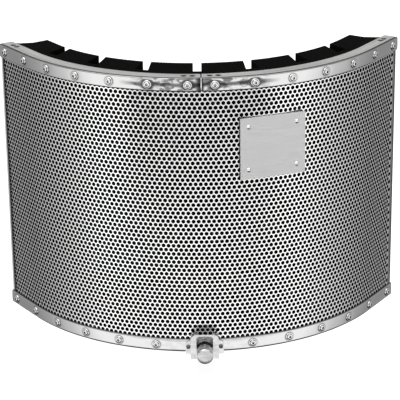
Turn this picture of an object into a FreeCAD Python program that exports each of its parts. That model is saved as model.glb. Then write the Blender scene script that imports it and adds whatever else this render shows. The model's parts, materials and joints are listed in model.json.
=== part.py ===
"""Microphone isolation shield on a stand mount.

A curved wall of perforated sheet steel is clamped between outer strips and inner rails, and lined with
ribbed foam. A saddle block at its foot sits over a knurled clamp knob, whose stem ties the shield to an
arm. The arm slides and swivels on an adapter that screws onto a microphone stand.

Frame: millimetres, +Z up, X across the shield, +Y towards the microphone. The origin is at the mouth of
the stand thread. The shield's own parts are drawn about the centre of its arc, at the frame's underside.
"""
import FreeCAD, Part
import math
import os

import Sketcher
from FreeCAD import Placement, Rotation, Vector

SIZES = {
    # the curved frame
    "arc_radius": (235.0, "radius of the outer face of the strips"),
    "arc_half_angle": (56.4, "degrees of arc each side of the middle"),
    "end_straight": (58.0, "straight run at each end of the arc"),
    "frame_height": (320.0, "overall height of the frame"),
    "strip_thickness": (2.0, "outer clamp strip"),
    "strip_edge_round": (1.4, "rounding along the strip's outer edges"),
    "sheet_thickness": (1.0, "perforated sheet"),
    "rail_depth": (14.0, "inner rail, measured inward"),
    "rail_height": (15.5, "rails and strips"),
    "top_half_gap": (0.6, "upper halves, each from the middle"),
    "foot_half_gap": (5.0, "lower halves, each from the middle, to clear the stem"),
    "post_width": (6.2, "end post, along the frame"),
    "fit_gap": (0.1, "small assembly clearance"),
    "running_gap": (0.06, "radial clearance of what turns on a shaft"),
    # the foam
    "backing_gap": (4.0, "backing foam to the rails"),
    "foam_base": (8.0, "web of the ribbed foam"),
    "foam_rib_depth": (20.0, "height of the ribs above the web"),
    "foam_crown_height": (4.5, "ribs' inner edge above the frame's head"),
    "foam_slope_start": (3.0, "rail to the slope of the ribs' top"),
    "foam_rib_width": (46.3, "rib"),
    "foam_rib_pitch": (68.3, "ribs along the strips' outer face"),
    "foam_rib_shift": (-4.4, "middle slot, off the centre line"),
    "foam_slot_count": (7.0, "slots"),
    "foam_setback": (8.0, "ribbed foam to frame end, at the rail"),
    "foam_end_middle": (17.0, "slant of the foam's end, halfway in"),
    "foam_end_far": (24.8, "slant of the foam's end, at the ribs' face"),
    "backing_setback": (6.6, "backing foam to frame end"),
    "bracket_relief": (1.0, "backing foam to the corner brackets"),
    "foam_pocket_width": (50.0, "recess for the arm at the foot"),
    "foam_pocket_height": (38.0, "recess for the arm at the foot"),
    "foam_pocket_depth": (14.0, "recess for the arm at the foot"),
    # screws
    "flange_radius": (4.7, "flange of an M4 flanged button head"),
    "flange_thickness": (0.8, "flange of the button head"),
    "button_radius": (3.5, "dome on the flange"),
    "button_height": (2.3, "button head, with its flange"),
    "button_round": (1.2, "rounding of the dome's rim"),
    "socket_across": (2.5, "hexagon socket, across flats"),
    "socket_depth": (1.4, "hexagon socket"),
    "screw_shank_radius": (1.9, "shank"),
    "screw_shank_length": (7.5, "shank under the head"),
    "recess_width": (1.0, "cross recess"),
    "recess_length": (4.2, "cross recess"),
    "recess_depth": (1.2, "cross recess"),
    "top_screw_first": (14.6, "first upper strip screw from the middle"),
    "top_screw_pitch": (43.9, "upper strip screw spacing"),
    "foot_screw_first": (54.8, "first lower strip screw from the middle"),
    "foot_screw_pitch": (44.6, "lower strip screw spacing"),
    "flat_head_radius": (2.8, "countersunk head in the rails"),
    "sink_radius": (3.4, "mouth of the countersink"),
    "sink_depth": (0.5, "countersunk head below the rail's face"),
    "flat_head_depth": (1.9, "countersunk head in the rails"),
    "flat_screw_length": (19.0, "countersunk screws"),
    "joint_screw_near": (9.6, "rail joint screws from the seam"),
    "joint_screw_far": (19.4, "rail joint screws from the seam"),
    "corner_screw_near": (15.4, "corner screws from the frame end"),
    "corner_screw_far": (23.4, "corner screws from the frame end"),
    # joint plates and corner brackets
    "joint_plate_length": (52.0, "plate under the upper seam"),
    "joint_plate_thickness": (3.0, "plate under the upper seam"),
    "bridge_width": (48.0, "plate behind the lower seam"),
    "bridge_height": (28.0, "plate behind the lower seam"),
    "bridge_thickness": (3.0, "plate behind the lower seam"),
    "corner_leg": (20.0, "corner bracket leg"),
    "corner_width": (10.0, "corner bracket, across the frame"),
    "corner_thickness": (3.0, "corner bracket"),
    "post_screw_drop": (12.5, "post screws from the rail's face"),
    "post_screw_length": (6.5, "post screws"),
    # name plate
    "badge_width": (76.0, "plain badge plate"),
    "badge_height": (70.0, "plain badge plate"),
    "badge_thickness": (1.5, "plain badge plate"),
    "badge_along": (79.0, "badge centre along the frame"),
    "badge_level": (238.5, "badge centre above the frame's underside"),
    "badge_pin_x": (28.2, "badge screw, half spacing across"),
    "badge_pin_z": (24.4, "badge screw, half spacing up"),
    "badge_pin_radius": (2.5, "dome head"),
    "badge_dome_height": (1.45, "dome head"),
    "badge_pin_length": (4.1, "shank of the badge screws"),
    "badge_spacer_length": (1.3, "spacer between sheet and badge"),
    # saddle
    "saddle_width": (31.5, "block"),
    "saddle_depth": (12.0, "block, ahead of the strip"),
    "saddle_top": (26.4, "block top above the frame's underside"),
    "saddle_drop": (2.9, "legs below the frame's underside"),
    "saddle_reach": (2.0, "block's upper part, back to the sheet"),
    "saddle_corner": (6.5, "rounding of the block's upper corners"),
    "pocket_width": (18.6, "pocket for the knob"),
    "pocket_top": (24.2, "pocket ceiling above the frame's underside"),
    "pocket_corner": (3.0, "rounding of the pocket's upper corners"),
    "saddle_web": (2.5, "web at the back of the pocket"),
    "ear_reach": (21.5, "ears, from the middle"),
    "ear_thickness": (2.0, "ears"),
    "ear_low": (-1.2, "underside of the ears"),
    "ear_high": (15.5, "top of the ears"),
    "ear_corner": (6.0, "rounding of the ears' upper corners"),
    "ear_screw_x": (18.3, "ear screws from the middle"),
    "ear_head_radius": (2.4, "ear screw head"),
    "ear_head_height": (2.0, "ear screw head"),
    "ear_head_round": (1.4, "rounding of the ear screw head's rim"),
    "ear_recess_length": (2.8, "cross recess of the ear screws"),
    "stem_slot_width": (8.8, "slot for the stem"),
    "stem_slot_top": (16.9, "slot end above the frame's underside"),
    # clamp knob
    "stem_level": (7.75, "stem axis above the frame's underside"),
    "stem_radius": (4.0, "M8 stem"),
    "knob_radius": (9.0, "knurled knob"),
    "knob_reach": (30.0, "knob end, ahead of the strips"),
    "knob_head_length": (13.5, "knurled length"),
    "knob_ring_length": (9.5, "rubber ring"),
    "knob_ring_radius": (9.1, "rubber ring"),
    "knob_neck_radius": (6.5, "groove under the ring"),
    "knob_chamfer": (0.8, "rim of the knob's end"),
    "stem_past_arm": (2.0, "stem beyond the arm's upright"),
    # arm and stand mount
    "stand_setback": (105.0, "strip face to the stand axis"),
    "frame_level": (41.0, "frame's underside above the stand thread's mouth"),
    "arm_gap": (0.8, "flat upright to the curved bridge plate"),
    "arm_width": (30.0, "arm"),
    "arm_thickness": (5.0, "arm"),
    "arm_end": (59.0, "arm end beyond the stand axis"),
    "arm_top": (31.2, "top of the arm's flat run"),
    "arm_upright": (19.0, "upright above the frame's underside"),
    "arm_bend": (6.0, "inside radius of the bend"),
    "arm_slot_width": (12.4, "slot in the arm"),
    "arm_slot_near": (-39.0, "slot end towards the shield"),
    "arm_slot_far": (49.0, "slot end away from the shield"),
    "block_neck_width": (12.2, "slide block neck"),
    "block_neck_length": (24.0, "slide block neck"),
    "block_neck_top": (30.8, "top of the neck"),
    "block_width": (28.0, "slide block foot"),
    "block_length": (30.0, "slide block foot"),
    "block_thickness": (4.0, "slide block foot"),
    "washer_radius": (14.0, "clamp washer"),
    "washer_thickness": (2.0, "clamp washer"),
    "stud_radius": (5.0, "stud of the stand adapter"),
    "adapter_radius": (12.5, "stand adapter"),
    "adapter_height": (22.0, "stand adapter"),
    "thread_radius": (7.94, "5/8 inch stand thread"),
    "thread_depth": (16.0, "stand thread"),
    "nut_radius": (15.0, "lock nut"),
    "nut_height": (10.0, "lock nut"),
    "nut_level": (33.5, "underside of the lock nut"),
    "post_flange_radius": (11.0, "microphone post flange"),
    "post_flange_height": (4.0, "microphone post flange"),
    "mic_post_level": (43.7, "underside of the microphone post"),
    "relief_radius": (7.2, "relief under the microphone thread, where the lock ring sits"),
    "relief_height": (5.3, "relief under the microphone thread"),
    "mic_thread_length": (16.7, "microphone thread above the relief"),
    "ring_radius": (12.0, "microphone lock ring"),
    "ring_height": (5.0, "microphone lock ring"),
}

STRIP_SCREWS_PER_SIDE = 7
FOOT_SCREWS_PER_SIDE = 6
UP = Vector(0, 0, 1)
OUT = Vector(0, -1, 0)
CLEAR = 5.0  # how far a cutting shape runs past what it cuts
TINY = 1e-6

doc = FreeCAD.newDocument("microphone_shield")
sheet = doc.addObject("Spreadsheet::Sheet", "sizes")
for row, (alias, (value, note)) in enumerate(SIZES.items(), start=1):
    sheet.set(f"A{row}", note)
    sheet.set(f"B{row}", str(value))
    sheet.setAlias(f"B{row}", alias)
doc.recompute()


def size(alias):
    """Value of a driving dimension."""
    return float(sheet.get(alias))


def total(*terms):
    """Sum of driving dimensions; a leading minus subtracts one."""
    return sum(-size(term[1:]) if term.startswith("-") else size(term) for term in terms)


def formula(*terms):
    """The same sum as an expression on the sheet."""
    signed = [f"- sizes.{term[1:]}" if term.startswith("-") else f"+ sizes.{term}" for term in terms]
    return " ".join(signed) if signed else "0"


def bind(thing, name, *terms):
    """Bind a property of an object to a sum of driving dimensions."""
    thing.setExpression(name, formula(*terms))


def seat_on_shield(thing):
    """Place a part that is drawn about the arc's centre."""
    bind(thing, "Placement.Base.y", "arc_radius", "-stand_setback")
    bind(thing, "Placement.Base.z", "frame_level")


def origin_plane(body, role):
    """One of a body's own origin planes."""
    return next(f for f in body.Origin.OriginFeatures if f.Role == role)


def new_sketch(body, name, role="XY_Plane"):
    """Empty sketch on one of the body's own origin planes."""
    sketch = body.newObject("Sketcher::SketchObject", name)
    sketch.AttachmentSupport = [(origin_plane(body, role), "")]
    sketch.MapMode = "FlatFace"
    return sketch


def dimension(sketch, name, rule, terms, unit=""):
    """Add a dimension to a sketch and bind it to a sum of driving dimensions."""
    sketch.renameConstraint(sketch.addConstraint(rule), name)
    sketch.setExpression(f"Constraints.{name}", f"({formula(*terms)}){unit}")


def station(along, inward, level=0.0):
    """Point on the shield, and the turn of its outward face there, in degrees.

    along runs on the outer face of the strips from the middle, inward runs from that face to the
    microphone's side, and level is above the frame's underside.
    """
    side = -1.0 if along < 0 else 1.0
    arc_length = size("arc_radius") * math.radians(size("arc_half_angle"))
    turn = min(abs(along), arc_length) / size("arc_radius")
    beyond = max(abs(along) - arc_length, 0.0)
    radius = size("arc_radius") - inward
    x = radius * math.sin(turn) + beyond * math.cos(turn)
    y = -radius * math.cos(turn) + beyond * math.sin(turn)
    return Vector(side * x, y, level), side * math.degrees(turn)


def half_length():
    """Length of one half of the strips, along their outer face."""
    return size("arc_radius") * math.radians(size("arc_half_angle")) + size("end_straight")


def placed(shape, along, inward, level):
    """Copy of a shape drawn with -Y outward, set on the shield."""
    point, turn = station(along, inward, level)
    copy = shape.copy()
    copy.Placement = Placement(point, Rotation(UP, turn)).multiply(copy.Placement)
    return copy


def feature(label, shape, shield=True):
    """Part::Feature with ready solids; the compound keeps their own place under the seat."""
    thing = doc.addObject("Part::Feature", label)
    thing.Label = label
    thing.Shape = Part.makeCompound(shape.Solids)
    if shield:
        seat_on_shield(thing)
    return thing


def helper(name, shape):
    """Tool shape for a boolean, drawn in the same frame as the part it cuts."""
    thing = doc.addObject("Part::Feature", name)
    thing.Shape = shape
    return thing


def cut(label, base, tool, shield=True):
    """Boolean cut that becomes the sub-part."""
    thing = doc.addObject("Part::Cut", label)
    thing.Label = label
    thing.Base = base
    thing.Tool = tool
    if shield:
        seat_on_shield(thing)
    return thing


def fuse(name, *parts):
    """Boolean union of several shapes."""
    thing = doc.addObject("Part::MultiFuse", name)
    thing.Shapes = list(parts)
    thing.Refine = True
    return thing


def mirrored(label, source):
    """Left-hand twin of a right-hand part."""
    thing = doc.addObject("Part::Mirroring", label)
    thing.Label = label
    thing.Source = source
    thing.Normal = Vector(1, 0, 0)
    return thing


def box(name, length, width, height):
    """Part::Box whose three sizes are sums of driving dimensions."""
    thing = doc.addObject("Part::Box", name)
    for word, terms in (("Length", length), ("Width", width), ("Height", height)):
        bind(thing, word, *terms)
    return thing


def shift(thing, x=(), y=(), z=()):
    """Bind the placement of a primitive to sums of driving dimensions."""
    for axis, terms in (("x", x), ("y", y), ("z", z)):
        if terms:
            bind(thing, f"Placement.Base.{axis}", *terms)
    return thing


def rod(radius, start, end):
    """Solid cylinder from one point to another."""
    return Part.makeCylinder(radius, (end - start).Length, start, end - start)


# ---------------------------------------------------------------- curved bands
def band_body(name, outer, inner, low, high, seam=(), trim=()):
    """Right half of a curved band, or the whole band when it has no seam.

    Each argument is a sum of driving dimensions: outer and inner are depths from the strips' outer
    face, low and high are levels, seam is the gap at the middle, and trim shortens the straight end.
    """
    body = doc.addObject("PartDesign::Body", name)
    body.Label = name
    sketch = new_sketch(body, name + "_plan")
    angle = math.radians(size("arc_half_angle"))
    radii = [size("arc_radius") - total(*depth) for depth in (outer, inner)]
    straight = size("end_straight") - total(*trim)
    gap = total(*seam)
    along_end = Vector(math.cos(angle), math.sin(angle), 0) * straight
    turns = [Vector(radius * math.sin(angle), -radius * math.cos(angle), 0) for radius in radii]
    seams = [Vector(gap, -math.sqrt(radius**2 - gap**2), 0) for radius in radii]
    starts = [math.asin(gap / radius) - math.pi / 2 for radius in radii]
    arcs = [
        sketch.addGeometry(Part.ArcOfCircle(Part.Circle(Vector(), UP, radius), start, angle - math.pi / 2))
        for radius, start in zip(radii, starts)
    ]
    outer_arc, inner_arc = arcs
    outer_line, end_line, inner_line, seam_line = (
        sketch.addGeometry(Part.LineSegment(start, end))
        for start, end in (
            (turns[0], turns[0] + along_end),
            (turns[0] + along_end, turns[1] + along_end),
            (turns[1] + along_end, turns[1]),
            (seams[1], seams[0]),
        )
    )
    rule = Sketcher.Constraint
    for curve in arcs:
        sketch.addConstraint(rule("Coincident", curve, 3, -1, 1))
    sketch.addConstraint(rule("Tangent", outer_arc, 2, outer_line, 1))
    sketch.addConstraint(rule("Coincident", outer_line, 2, end_line, 1))
    sketch.addConstraint(rule("Coincident", end_line, 2, inner_line, 1))
    sketch.addConstraint(rule("Tangent", inner_line, 2, inner_arc, 2))
    sketch.addConstraint(rule("Coincident", inner_arc, 1, seam_line, 1))
    sketch.addConstraint(rule("Coincident", seam_line, 2, outer_arc, 1))
    sketch.addConstraint(rule("Perpendicular", outer_line, end_line))
    sketch.addConstraint(rule("Parallel", outer_line, inner_line))
    sketch.addConstraint(rule("Vertical", seam_line))
    if seam:
        dimension(sketch, "seam", rule("DistanceX", -1, 1, seam_line, 1, gap), seam)
    else:
        sketch.addConstraint(rule("PointOnObject", seam_line, 1, -2))
    for curve, word, radius, depth in zip(arcs, ("outer_radius", "inner_radius"), radii, (outer, inner)):
        minus = [term[1:] if term.startswith("-") else "-" + term for term in depth]
        dimension(sketch, word, rule("Radius", curve, radius), ["arc_radius", *minus])
    minus = ["-" + term for term in trim]
    dimension(sketch, "straight", rule("Distance", outer_line, straight), ["end_straight", *minus])
    dimension(sketch, "half_angle", rule("Angle", outer_line, angle), ["arc_half_angle"], " * 1 deg")
    bind(sketch, "AttachmentOffset.Base.z", *low)
    pad = body.newObject("PartDesign::Pad", name + "_pad")
    pad.Profile = sketch
    minus = [term[1:] if term.startswith("-") else "-" + term for term in low]
    bind(pad, "Length", *high, *minus)
    body.Tip = pad
    doc.recompute()
    if not seam:
        mirror = body.newObject("PartDesign::Mirrored", name + "_mirror")
        mirror.Originals = [pad]
        mirror.MirrorPlane = (origin_plane(body, "YZ_Plane"), [""])
        body.Tip = mirror
        doc.recompute()
    return body


LAYERS = {
    "strip": ((), ("strip_thickness",)),
    "sheet": (("strip_thickness",), ("strip_thickness", "sheet_thickness")),
    "rail": (
        ("strip_thickness", "sheet_thickness", "fit_gap"),
        ("strip_thickness", "sheet_thickness", "rail_depth"),
    ),
}
FRAME_INNER = ("strip_thickness", "sheet_thickness", "rail_depth")
FOOT = ((), ("rail_height",))
HEAD = (("frame_height", "-rail_height"), ("frame_height",))


def depth_of(point):
    """How far a point lies inward from the strips' outer face."""
    turn = min(math.atan2(abs(point.x), -point.y), math.radians(size("arc_half_angle")))
    radius = abs(point.x) * math.sin(turn) - point.y * math.cos(turn)
    return size("arc_radius") - radius


def round_edges(body, radius_cell, wanted):
    """Round the edges of a body's tip that a test picks."""
    base = body.Tip
    names = [f"Edge{i}" for i, edge in enumerate(base.Shape.Edges, start=1) if wanted(edge)]
    fillet = body.newObject("PartDesign::Fillet", body.Name + "_round")
    fillet.Base = (base, names)
    bind(fillet, "Radius", radius_cell)
    body.Tip = fillet
    doc.recompute()


def is_outer_rim(edge):
    """Level edge on the outer face of a strip, at its top or bottom."""
    middle = edge.valueAt((edge.FirstParameter + edge.LastParameter) / 2)
    return edge.BoundBox.ZLength < TINY and abs(depth_of(middle)) < 1e-3 and edge.Length > size("rail_height")


# ---------------------------------------------------------------- screws and their holes
def screw_places():
    """Every strip screw as (distance along, level, upper or foot)."""
    places = {"upper": [], "foot": []}
    for rank in range(STRIP_SCREWS_PER_SIDE):
        places["upper"].append(size("top_screw_first") + rank * size("top_screw_pitch"))
    for rank in range(FOOT_SCREWS_PER_SIDE):
        places["foot"].append(size("foot_screw_first") + rank * size("foot_screw_pitch"))
    levels = {"upper": size("frame_height") - size("rail_height") / 2, "foot": size("rail_height") / 2}
    return {row: [(side * along, levels[row]) for along in places[row] for side in (-1, 1)] for row in places}


def drilled(places, radius, near, far):
    """Compound of round holes through the frame, each along the outward normal."""
    hole = rod(radius, Vector(0, near, 0), Vector(0, far, 0))
    return Part.makeCompound([placed(hole, along, 0, level) for along, level in places])


def cross_recess(width, length, depth):
    """Cross that a screwdriver fits, sunk from the top of a head at Z = 0."""
    bars = []
    for bar_x, bar_y in ((length, width), (width, length)):
        bars.append(Part.makeBox(bar_x, bar_y, 2 * depth, Vector(-bar_x / 2, -bar_y / 2, -depth)))
    return bars[0].fuse(bars[1])


def hex_socket(across, depth):
    """Hexagonal socket, sunk from the top of a head at Z = 0."""
    reach = across / math.sqrt(3)
    turns = [math.radians(60 * corner) for corner in range(7)]
    corners = [Vector(reach * math.cos(turn), reach * math.sin(turn), -depth) for turn in turns]
    return Part.Face(Part.makePolygon(corners)).extrude(Vector(0, 0, 2 * depth))


def upper_rim(head, level):
    """Round edges of a head above a level."""
    return [e for e in head.Edges if e.BoundBox.ZMin > level and e.BoundBox.ZLength < TINY]


def headed(head, shank_length):
    """Screw with this head, which points outward along -Y, seat at Y = 0."""
    shank = rod(size("screw_shank_radius"), Vector(), Vector(0, 0, -shank_length))
    screw = head.fuse(shank).removeSplitter()
    screw.Placement = Placement(Vector(), Rotation(Vector(1, 0, 0), 90))
    return screw


def button_screw(shank_length):
    """Flanged button-head screw with a hexagon socket."""
    height = size("button_height")
    dome = Part.makeCylinder(size("button_radius"), height)
    dome = dome.makeFillet(size("button_round"), upper_rim(dome, height / 2))
    flange = Part.makeCylinder(size("flange_radius"), size("flange_thickness"))
    flange = flange.makeFillet(size("flange_thickness") / 2, upper_rim(flange, size("flange_thickness") / 2))
    socket = hex_socket(size("socket_across"), size("socket_depth"))
    socket.translate(Vector(0, 0, height))
    return headed(dome.fuse(flange).removeSplitter().cut(socket), shank_length)


def ear_screw_solid(shank_length):
    """Small domed screw with a cross recess."""
    height = size("ear_head_height")
    head = Part.makeCylinder(size("ear_head_radius"), height)
    head = head.makeFillet(size("ear_head_round"), upper_rim(head, height / 2))
    recess = cross_recess(size("recess_width"), size("ear_recess_length"), size("recess_depth"))
    recess.translate(Vector(0, 0, height))
    return headed(head.cut(recess), shank_length)


def flat_screw():
    """Countersunk screw with a cross recess, head up and a little below Z = 0."""
    head_top, head_low = size("sink_depth"), total("sink_depth", "flat_head_depth")
    cone = Part.makeCone(size("screw_shank_radius"), size("flat_head_radius"), size("flat_head_depth"),
                         Vector(0, 0, -head_low))
    recess = cross_recess(size("recess_width"), size("recess_length"), size("recess_depth"))
    recess.translate(Vector(0, 0, -head_top))
    shank = rod(size("screw_shank_radius"), Vector(0, 0, -head_low), Vector(0, 0, -size("flat_screw_length")))
    return cone.fuse(shank).cut(recess).removeSplitter()


def countersink():
    """Hole that a countersunk screw sits in: a wider mouth, then a hair of clearance."""
    length = size("flat_screw_length") + 1
    gap = size("fit_gap") / 2
    head_low = total("sink_depth", "flat_head_depth")
    shank_radius = size("screw_shank_radius") + gap
    cone = Part.makeCone(shank_radius, size("flat_head_radius") + gap, size("flat_head_depth"),
                         Vector(0, 0, -head_low))
    mouth_low = Vector(0, 0, -2 * size("sink_depth"))
    mouth = Part.makeCylinder(size("sink_radius"), 3 * size("sink_depth"), mouth_low)
    return cone.fuse([mouth, rod(shank_radius, Vector(0, 0, -head_low), Vector(0, 0, -length))])


STRIP_SCREWS = screw_places()
SHANK_HOLE = size("screw_shank_radius") + size("fit_gap") / 2
SCREW_REACH = size("screw_shank_length")
RAIL_MIDDLE = total(*FRAME_INNER) - size("rail_depth") / 2
EAR_SCREWS = [Vector(side * size("ear_screw_x"), -size("arc_radius"), size("stem_level")) for side in (-1, 1)]
JOINT_SCREWS = [side * size(cell) for cell in ("joint_screw_near", "joint_screw_far") for side in (-1, 1)]
CORNER_SCREWS = [
    side * (half_length() - size(cell))
    for cell in ("corner_screw_near", "corner_screw_far")
    for side in (-1, 1)
]

strip_holes = {
    row: helper(row + "_strip_holes", drilled(places, SHANK_HOLE, -1, SCREW_REACH + size("fit_gap")))
    for row, places in STRIP_SCREWS.items()
}
ear_far = OUT * -(total(*FRAME_INNER, "bridge_thickness") + CLEAR)
ear_holes = helper("ear_holes", Part.makeCompound(
    [rod(SHANK_HOLE, spot + OUT * CLEAR, spot + ear_far) for spot in EAR_SCREWS]))

for row, places in STRIP_SCREWS.items():
    button = button_screw(SCREW_REACH)
    screws = [placed(button, along, 0, level) for along, level in places]
    feature(f"{row}_strip_screws", Part.makeCompound(screws))

# ---------------------------------------------------------------- strips, rails and sheet
strips = {
    "upper": band_body("upper_strip_blank", *LAYERS["strip"], *HEAD, seam=("top_half_gap",)),
    "foot": band_body("foot_strip_blank", *LAYERS["strip"], *FOOT, seam=("foot_half_gap",)),
}
for row, body in strips.items():
    round_edges(body, "strip_edge_round", is_outer_rim)
    holes = strip_holes[row]
    if row == "foot":
        holes = fuse("foot_strip_all_holes", holes, ear_holes)
    cut(f"{row}_strip_right", body, holes)
    seat_on_shield(mirrored(f"{row}_strip_left", cut(f"{row}_strip_drilled", body, holes, shield=False)))

joint_sink = countersink()
UPSIDE_DOWN = Placement(Vector(), Rotation(Vector(0, 1, 0), 180))
turned_sink = joint_sink.copy()
turned_sink.Placement = UPSIDE_DOWN
vertical_holes = {
    "upper": [placed(joint_sink, along, RAIL_MIDDLE, size("frame_height"))
              for along in JOINT_SCREWS + CORNER_SCREWS],
    "foot": [placed(turned_sink, along, RAIL_MIDDLE, 0) for along in CORNER_SCREWS],
}

rails = {
    "upper": band_body("upper_rail_blank", *LAYERS["rail"], *HEAD, seam=("top_half_gap",)),
    "foot": band_body("foot_rail_blank", *LAYERS["rail"], *FOOT, seam=("foot_half_gap",)),
}
for row, body in rails.items():
    sinks = helper(f"{row}_rail_sinks", Part.makeCompound(vertical_holes[row]))
    parts = [strip_holes[row], sinks] + ([ear_holes] if row == "foot" else [])
    holes = fuse(f"{row}_rail_holes", *parts)
    cut(f"{row}_rail_right", body, holes)
    seat_on_shield(mirrored(f"{row}_rail_left", cut(f"{row}_rail_drilled", body, holes, shield=False)))

sheet_blank = band_body("sheet_blank", *LAYERS["sheet"], (), ("frame_height",), trim=("post_width",))
notch_half = size("foot_half_gap")
notch_top = size("stem_slot_top") + size("fit_gap")
notch_round_level = Vector(0, 0, notch_top - notch_half)
notch_box = Part.makeBox(2 * notch_half, 2 * CLEAR, notch_top - notch_half + CLEAR,
                         Vector(-notch_half, -CLEAR, -CLEAR))
notch_round = rod(notch_half, notch_round_level + OUT * CLEAR, notch_round_level - OUT * CLEAR)
notch = placed(notch_box.fuse(notch_round), 0, size("strip_thickness"), 0)
badge_pins = [(x * size("badge_pin_x"), z * size("badge_pin_z")) for x in (-1, 1) for z in (-1, 1)]


def on_badge(shape, x, z, ahead):
    """Copy of a shape drawn with -Y outward, set on the badge's plane; ahead is out from the sheet."""
    point, turn = station(size("badge_along"), size("strip_thickness") - ahead, size("badge_level"))
    seat = Placement(point, Rotation(UP, turn)).multiply(Placement(Vector(x, 0, z), Rotation()))
    copy = shape.copy()
    copy.Placement = seat.multiply(copy.Placement)
    return copy


badge_hole = rod(SHANK_HOLE, OUT * CLEAR, -OUT * 2 * CLEAR)
badge_bores = helper("badge_bores", Part.makeCompound([on_badge(badge_hole, x, z, 0) for x, z in badge_pins]))
sheet_holes = fuse("sheet_holes", strip_holes["upper"], strip_holes["foot"], ear_holes, badge_bores,
                   helper("sheet_notch", notch))
cut("perforated_sheet", sheet_blank, sheet_holes)

# ---------------------------------------------------------------- end posts, joint plate and bridge
POST_BOTTOM = size("rail_height")
POST_TALL = ("frame_height", "-rail_height", "-rail_height")
corner_leg, corner_thick = size("corner_leg"), size("corner_thickness")
CORNERS = [
    (side, word, upper, row)
    for side, word in ((1, "right"), (-1, "left"))
    for upper, row in ((True, "upper"), (False, "foot"))
]


def at_corner(shape, side, upper):
    """Shape drawn under the upper right rail's end, with the post at X > 0, set at any corner."""
    if side < 0:
        shape = shape.mirror(Vector(), Vector(1, 0, 0))
    if not upper:
        shape = shape.mirror(Vector(), Vector(0, 0, 1))
    level = total(*HEAD[0]) if upper else size("rail_height")
    return placed(shape, side * (half_length() - size("post_width")), RAIL_MIDDLE, level)


POST_SEAT = Vector(-corner_thick, 0, -size("post_screw_drop"))
post_bore_end = POST_SEAT + Vector(size("post_screw_length") + size("fit_gap"), 0, 0)
post_bore = rod(SHANK_HOLE, POST_SEAT, post_bore_end)
post_screw = button_screw(size("post_screw_length"))
post_screw.Placement = Placement(POST_SEAT, Rotation(UP, -90)).multiply(post_screw.Placement)
feature("post_screws", Part.makeCompound(
    [at_corner(post_screw, side, upper) for side, _, upper, _ in CORNERS]))

for side, word in ((1, "right"), (-1, "left")):
    post = box(f"post_blank_{word}", ("post_width",), ("sheet_thickness", "rail_depth"), POST_TALL)
    point, turn = station(side * half_length(), size("strip_thickness"), POST_BOTTOM)
    tangent = Rotation(UP, turn).multVec(Vector(1, 0, 0))
    corner = point - tangent * (size("post_width") if side > 0 else 0)
    post.Placement = Placement(corner, Rotation(UP, turn))
    bores = Part.makeCompound([at_corner(post_bore, side, upper) for upper in (True, False)])
    cut(f"end_post_{word}", post, helper(f"post_bores_{word}", bores))


def corner_bracket(label, side, upper):
    """Angle under the end of a rail and along its post, with three screw holes."""
    width = size("corner_width")
    flat = Part.makeBox(corner_leg, width, corner_thick, Vector(-corner_leg, -width / 2, -corner_thick))
    upright = Part.makeBox(corner_thick, width, corner_leg, Vector(-corner_thick, -width / 2, -corner_leg))
    angle = flat.fuse(upright).removeSplitter()
    for cell in ("corner_screw_near", "corner_screw_far"):
        x = size("post_width") - size(cell)
        angle = angle.cut(rod(SHANK_HOLE, Vector(x, 0, 1), Vector(x, 0, -corner_leg / 2)))
    angle = angle.cut(rod(SHANK_HOLE, POST_SEAT - Vector(1, 0, 0), post_bore_end))
    feature(label, at_corner(angle, side, upper))


for side, word, upper, row in CORNERS:
    corner_bracket(f"{row}_corner_bracket_{word}", side, upper)

flat = flat_screw()
joint_screws = [placed(flat, along, RAIL_MIDDLE, size("frame_height")) for along in JOINT_SCREWS]
feature("rail_joint_screws", Part.makeCompound(joint_screws))
turned_flat = flat.copy()
turned_flat.Placement = UPSIDE_DOWN
corner_screws = [placed(flat, along, RAIL_MIDDLE, size("frame_height")) for along in CORNER_SCREWS]
corner_screws += [placed(turned_flat, along, RAIL_MIDDLE, 0) for along in CORNER_SCREWS]
feature("corner_screws", Part.makeCompound(corner_screws))

plate_width = size("corner_width")
plate = Part.makeBox(size("joint_plate_length"), plate_width, size("joint_plate_thickness"))
plate.translate(Vector(-size("joint_plate_length") / 2, -plate_width / 2, -size("joint_plate_thickness")))
plate.translate(station(0, RAIL_MIDDLE, total(*HEAD[0]))[0])
plate_holes = [placed(joint_sink, along, RAIL_MIDDLE, size("frame_height")) for along in JOINT_SCREWS]
cut("upper_joint_plate", helper("joint_plate_blank", plate),
    helper("joint_plate_holes", Part.makeCompound(plate_holes)))

BRIDGE_INNER = (*FRAME_INNER, "bridge_thickness")
bridge_band = band_body("bridge_band", FRAME_INNER, BRIDGE_INNER, (), ("bridge_height",))
bridge_window = box("bridge_window", ("bridge_width",), ("bridge_width",), ("bridge_height",))
bridge_window.setExpression("Placement.Base.x", "-sizes.bridge_width / 2")
shift(bridge_window, y=("-arc_radius",))
bridge_blank = doc.addObject("Part::Common", "bridge_blank")
bridge_blank.Base = bridge_band
bridge_blank.Tool = bridge_window
slot_half = size("stem_slot_width") / 2
slot_centre = size("stem_slot_top") - slot_half
slot_near = -(size("saddle_depth") + CLEAR)
slot_far = total(*FRAME_INNER, "bridge_thickness") + CLEAR
slot_low = size("saddle_drop") + CLEAR
slot_box = Part.makeBox(2 * slot_half, slot_far - slot_near, slot_centre + slot_low,
                        Vector(-slot_half, slot_near, -slot_low))
slot_round = rod(slot_half, Vector(0, slot_near, slot_centre), Vector(0, slot_far, slot_centre))
stem_slot = helper("stem_slot", placed(slot_box.fuse(slot_round), 0, 0, 0))
cut("foot_bridge_plate", bridge_blank, fuse("bridge_holes", stem_slot, ear_holes))

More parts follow.
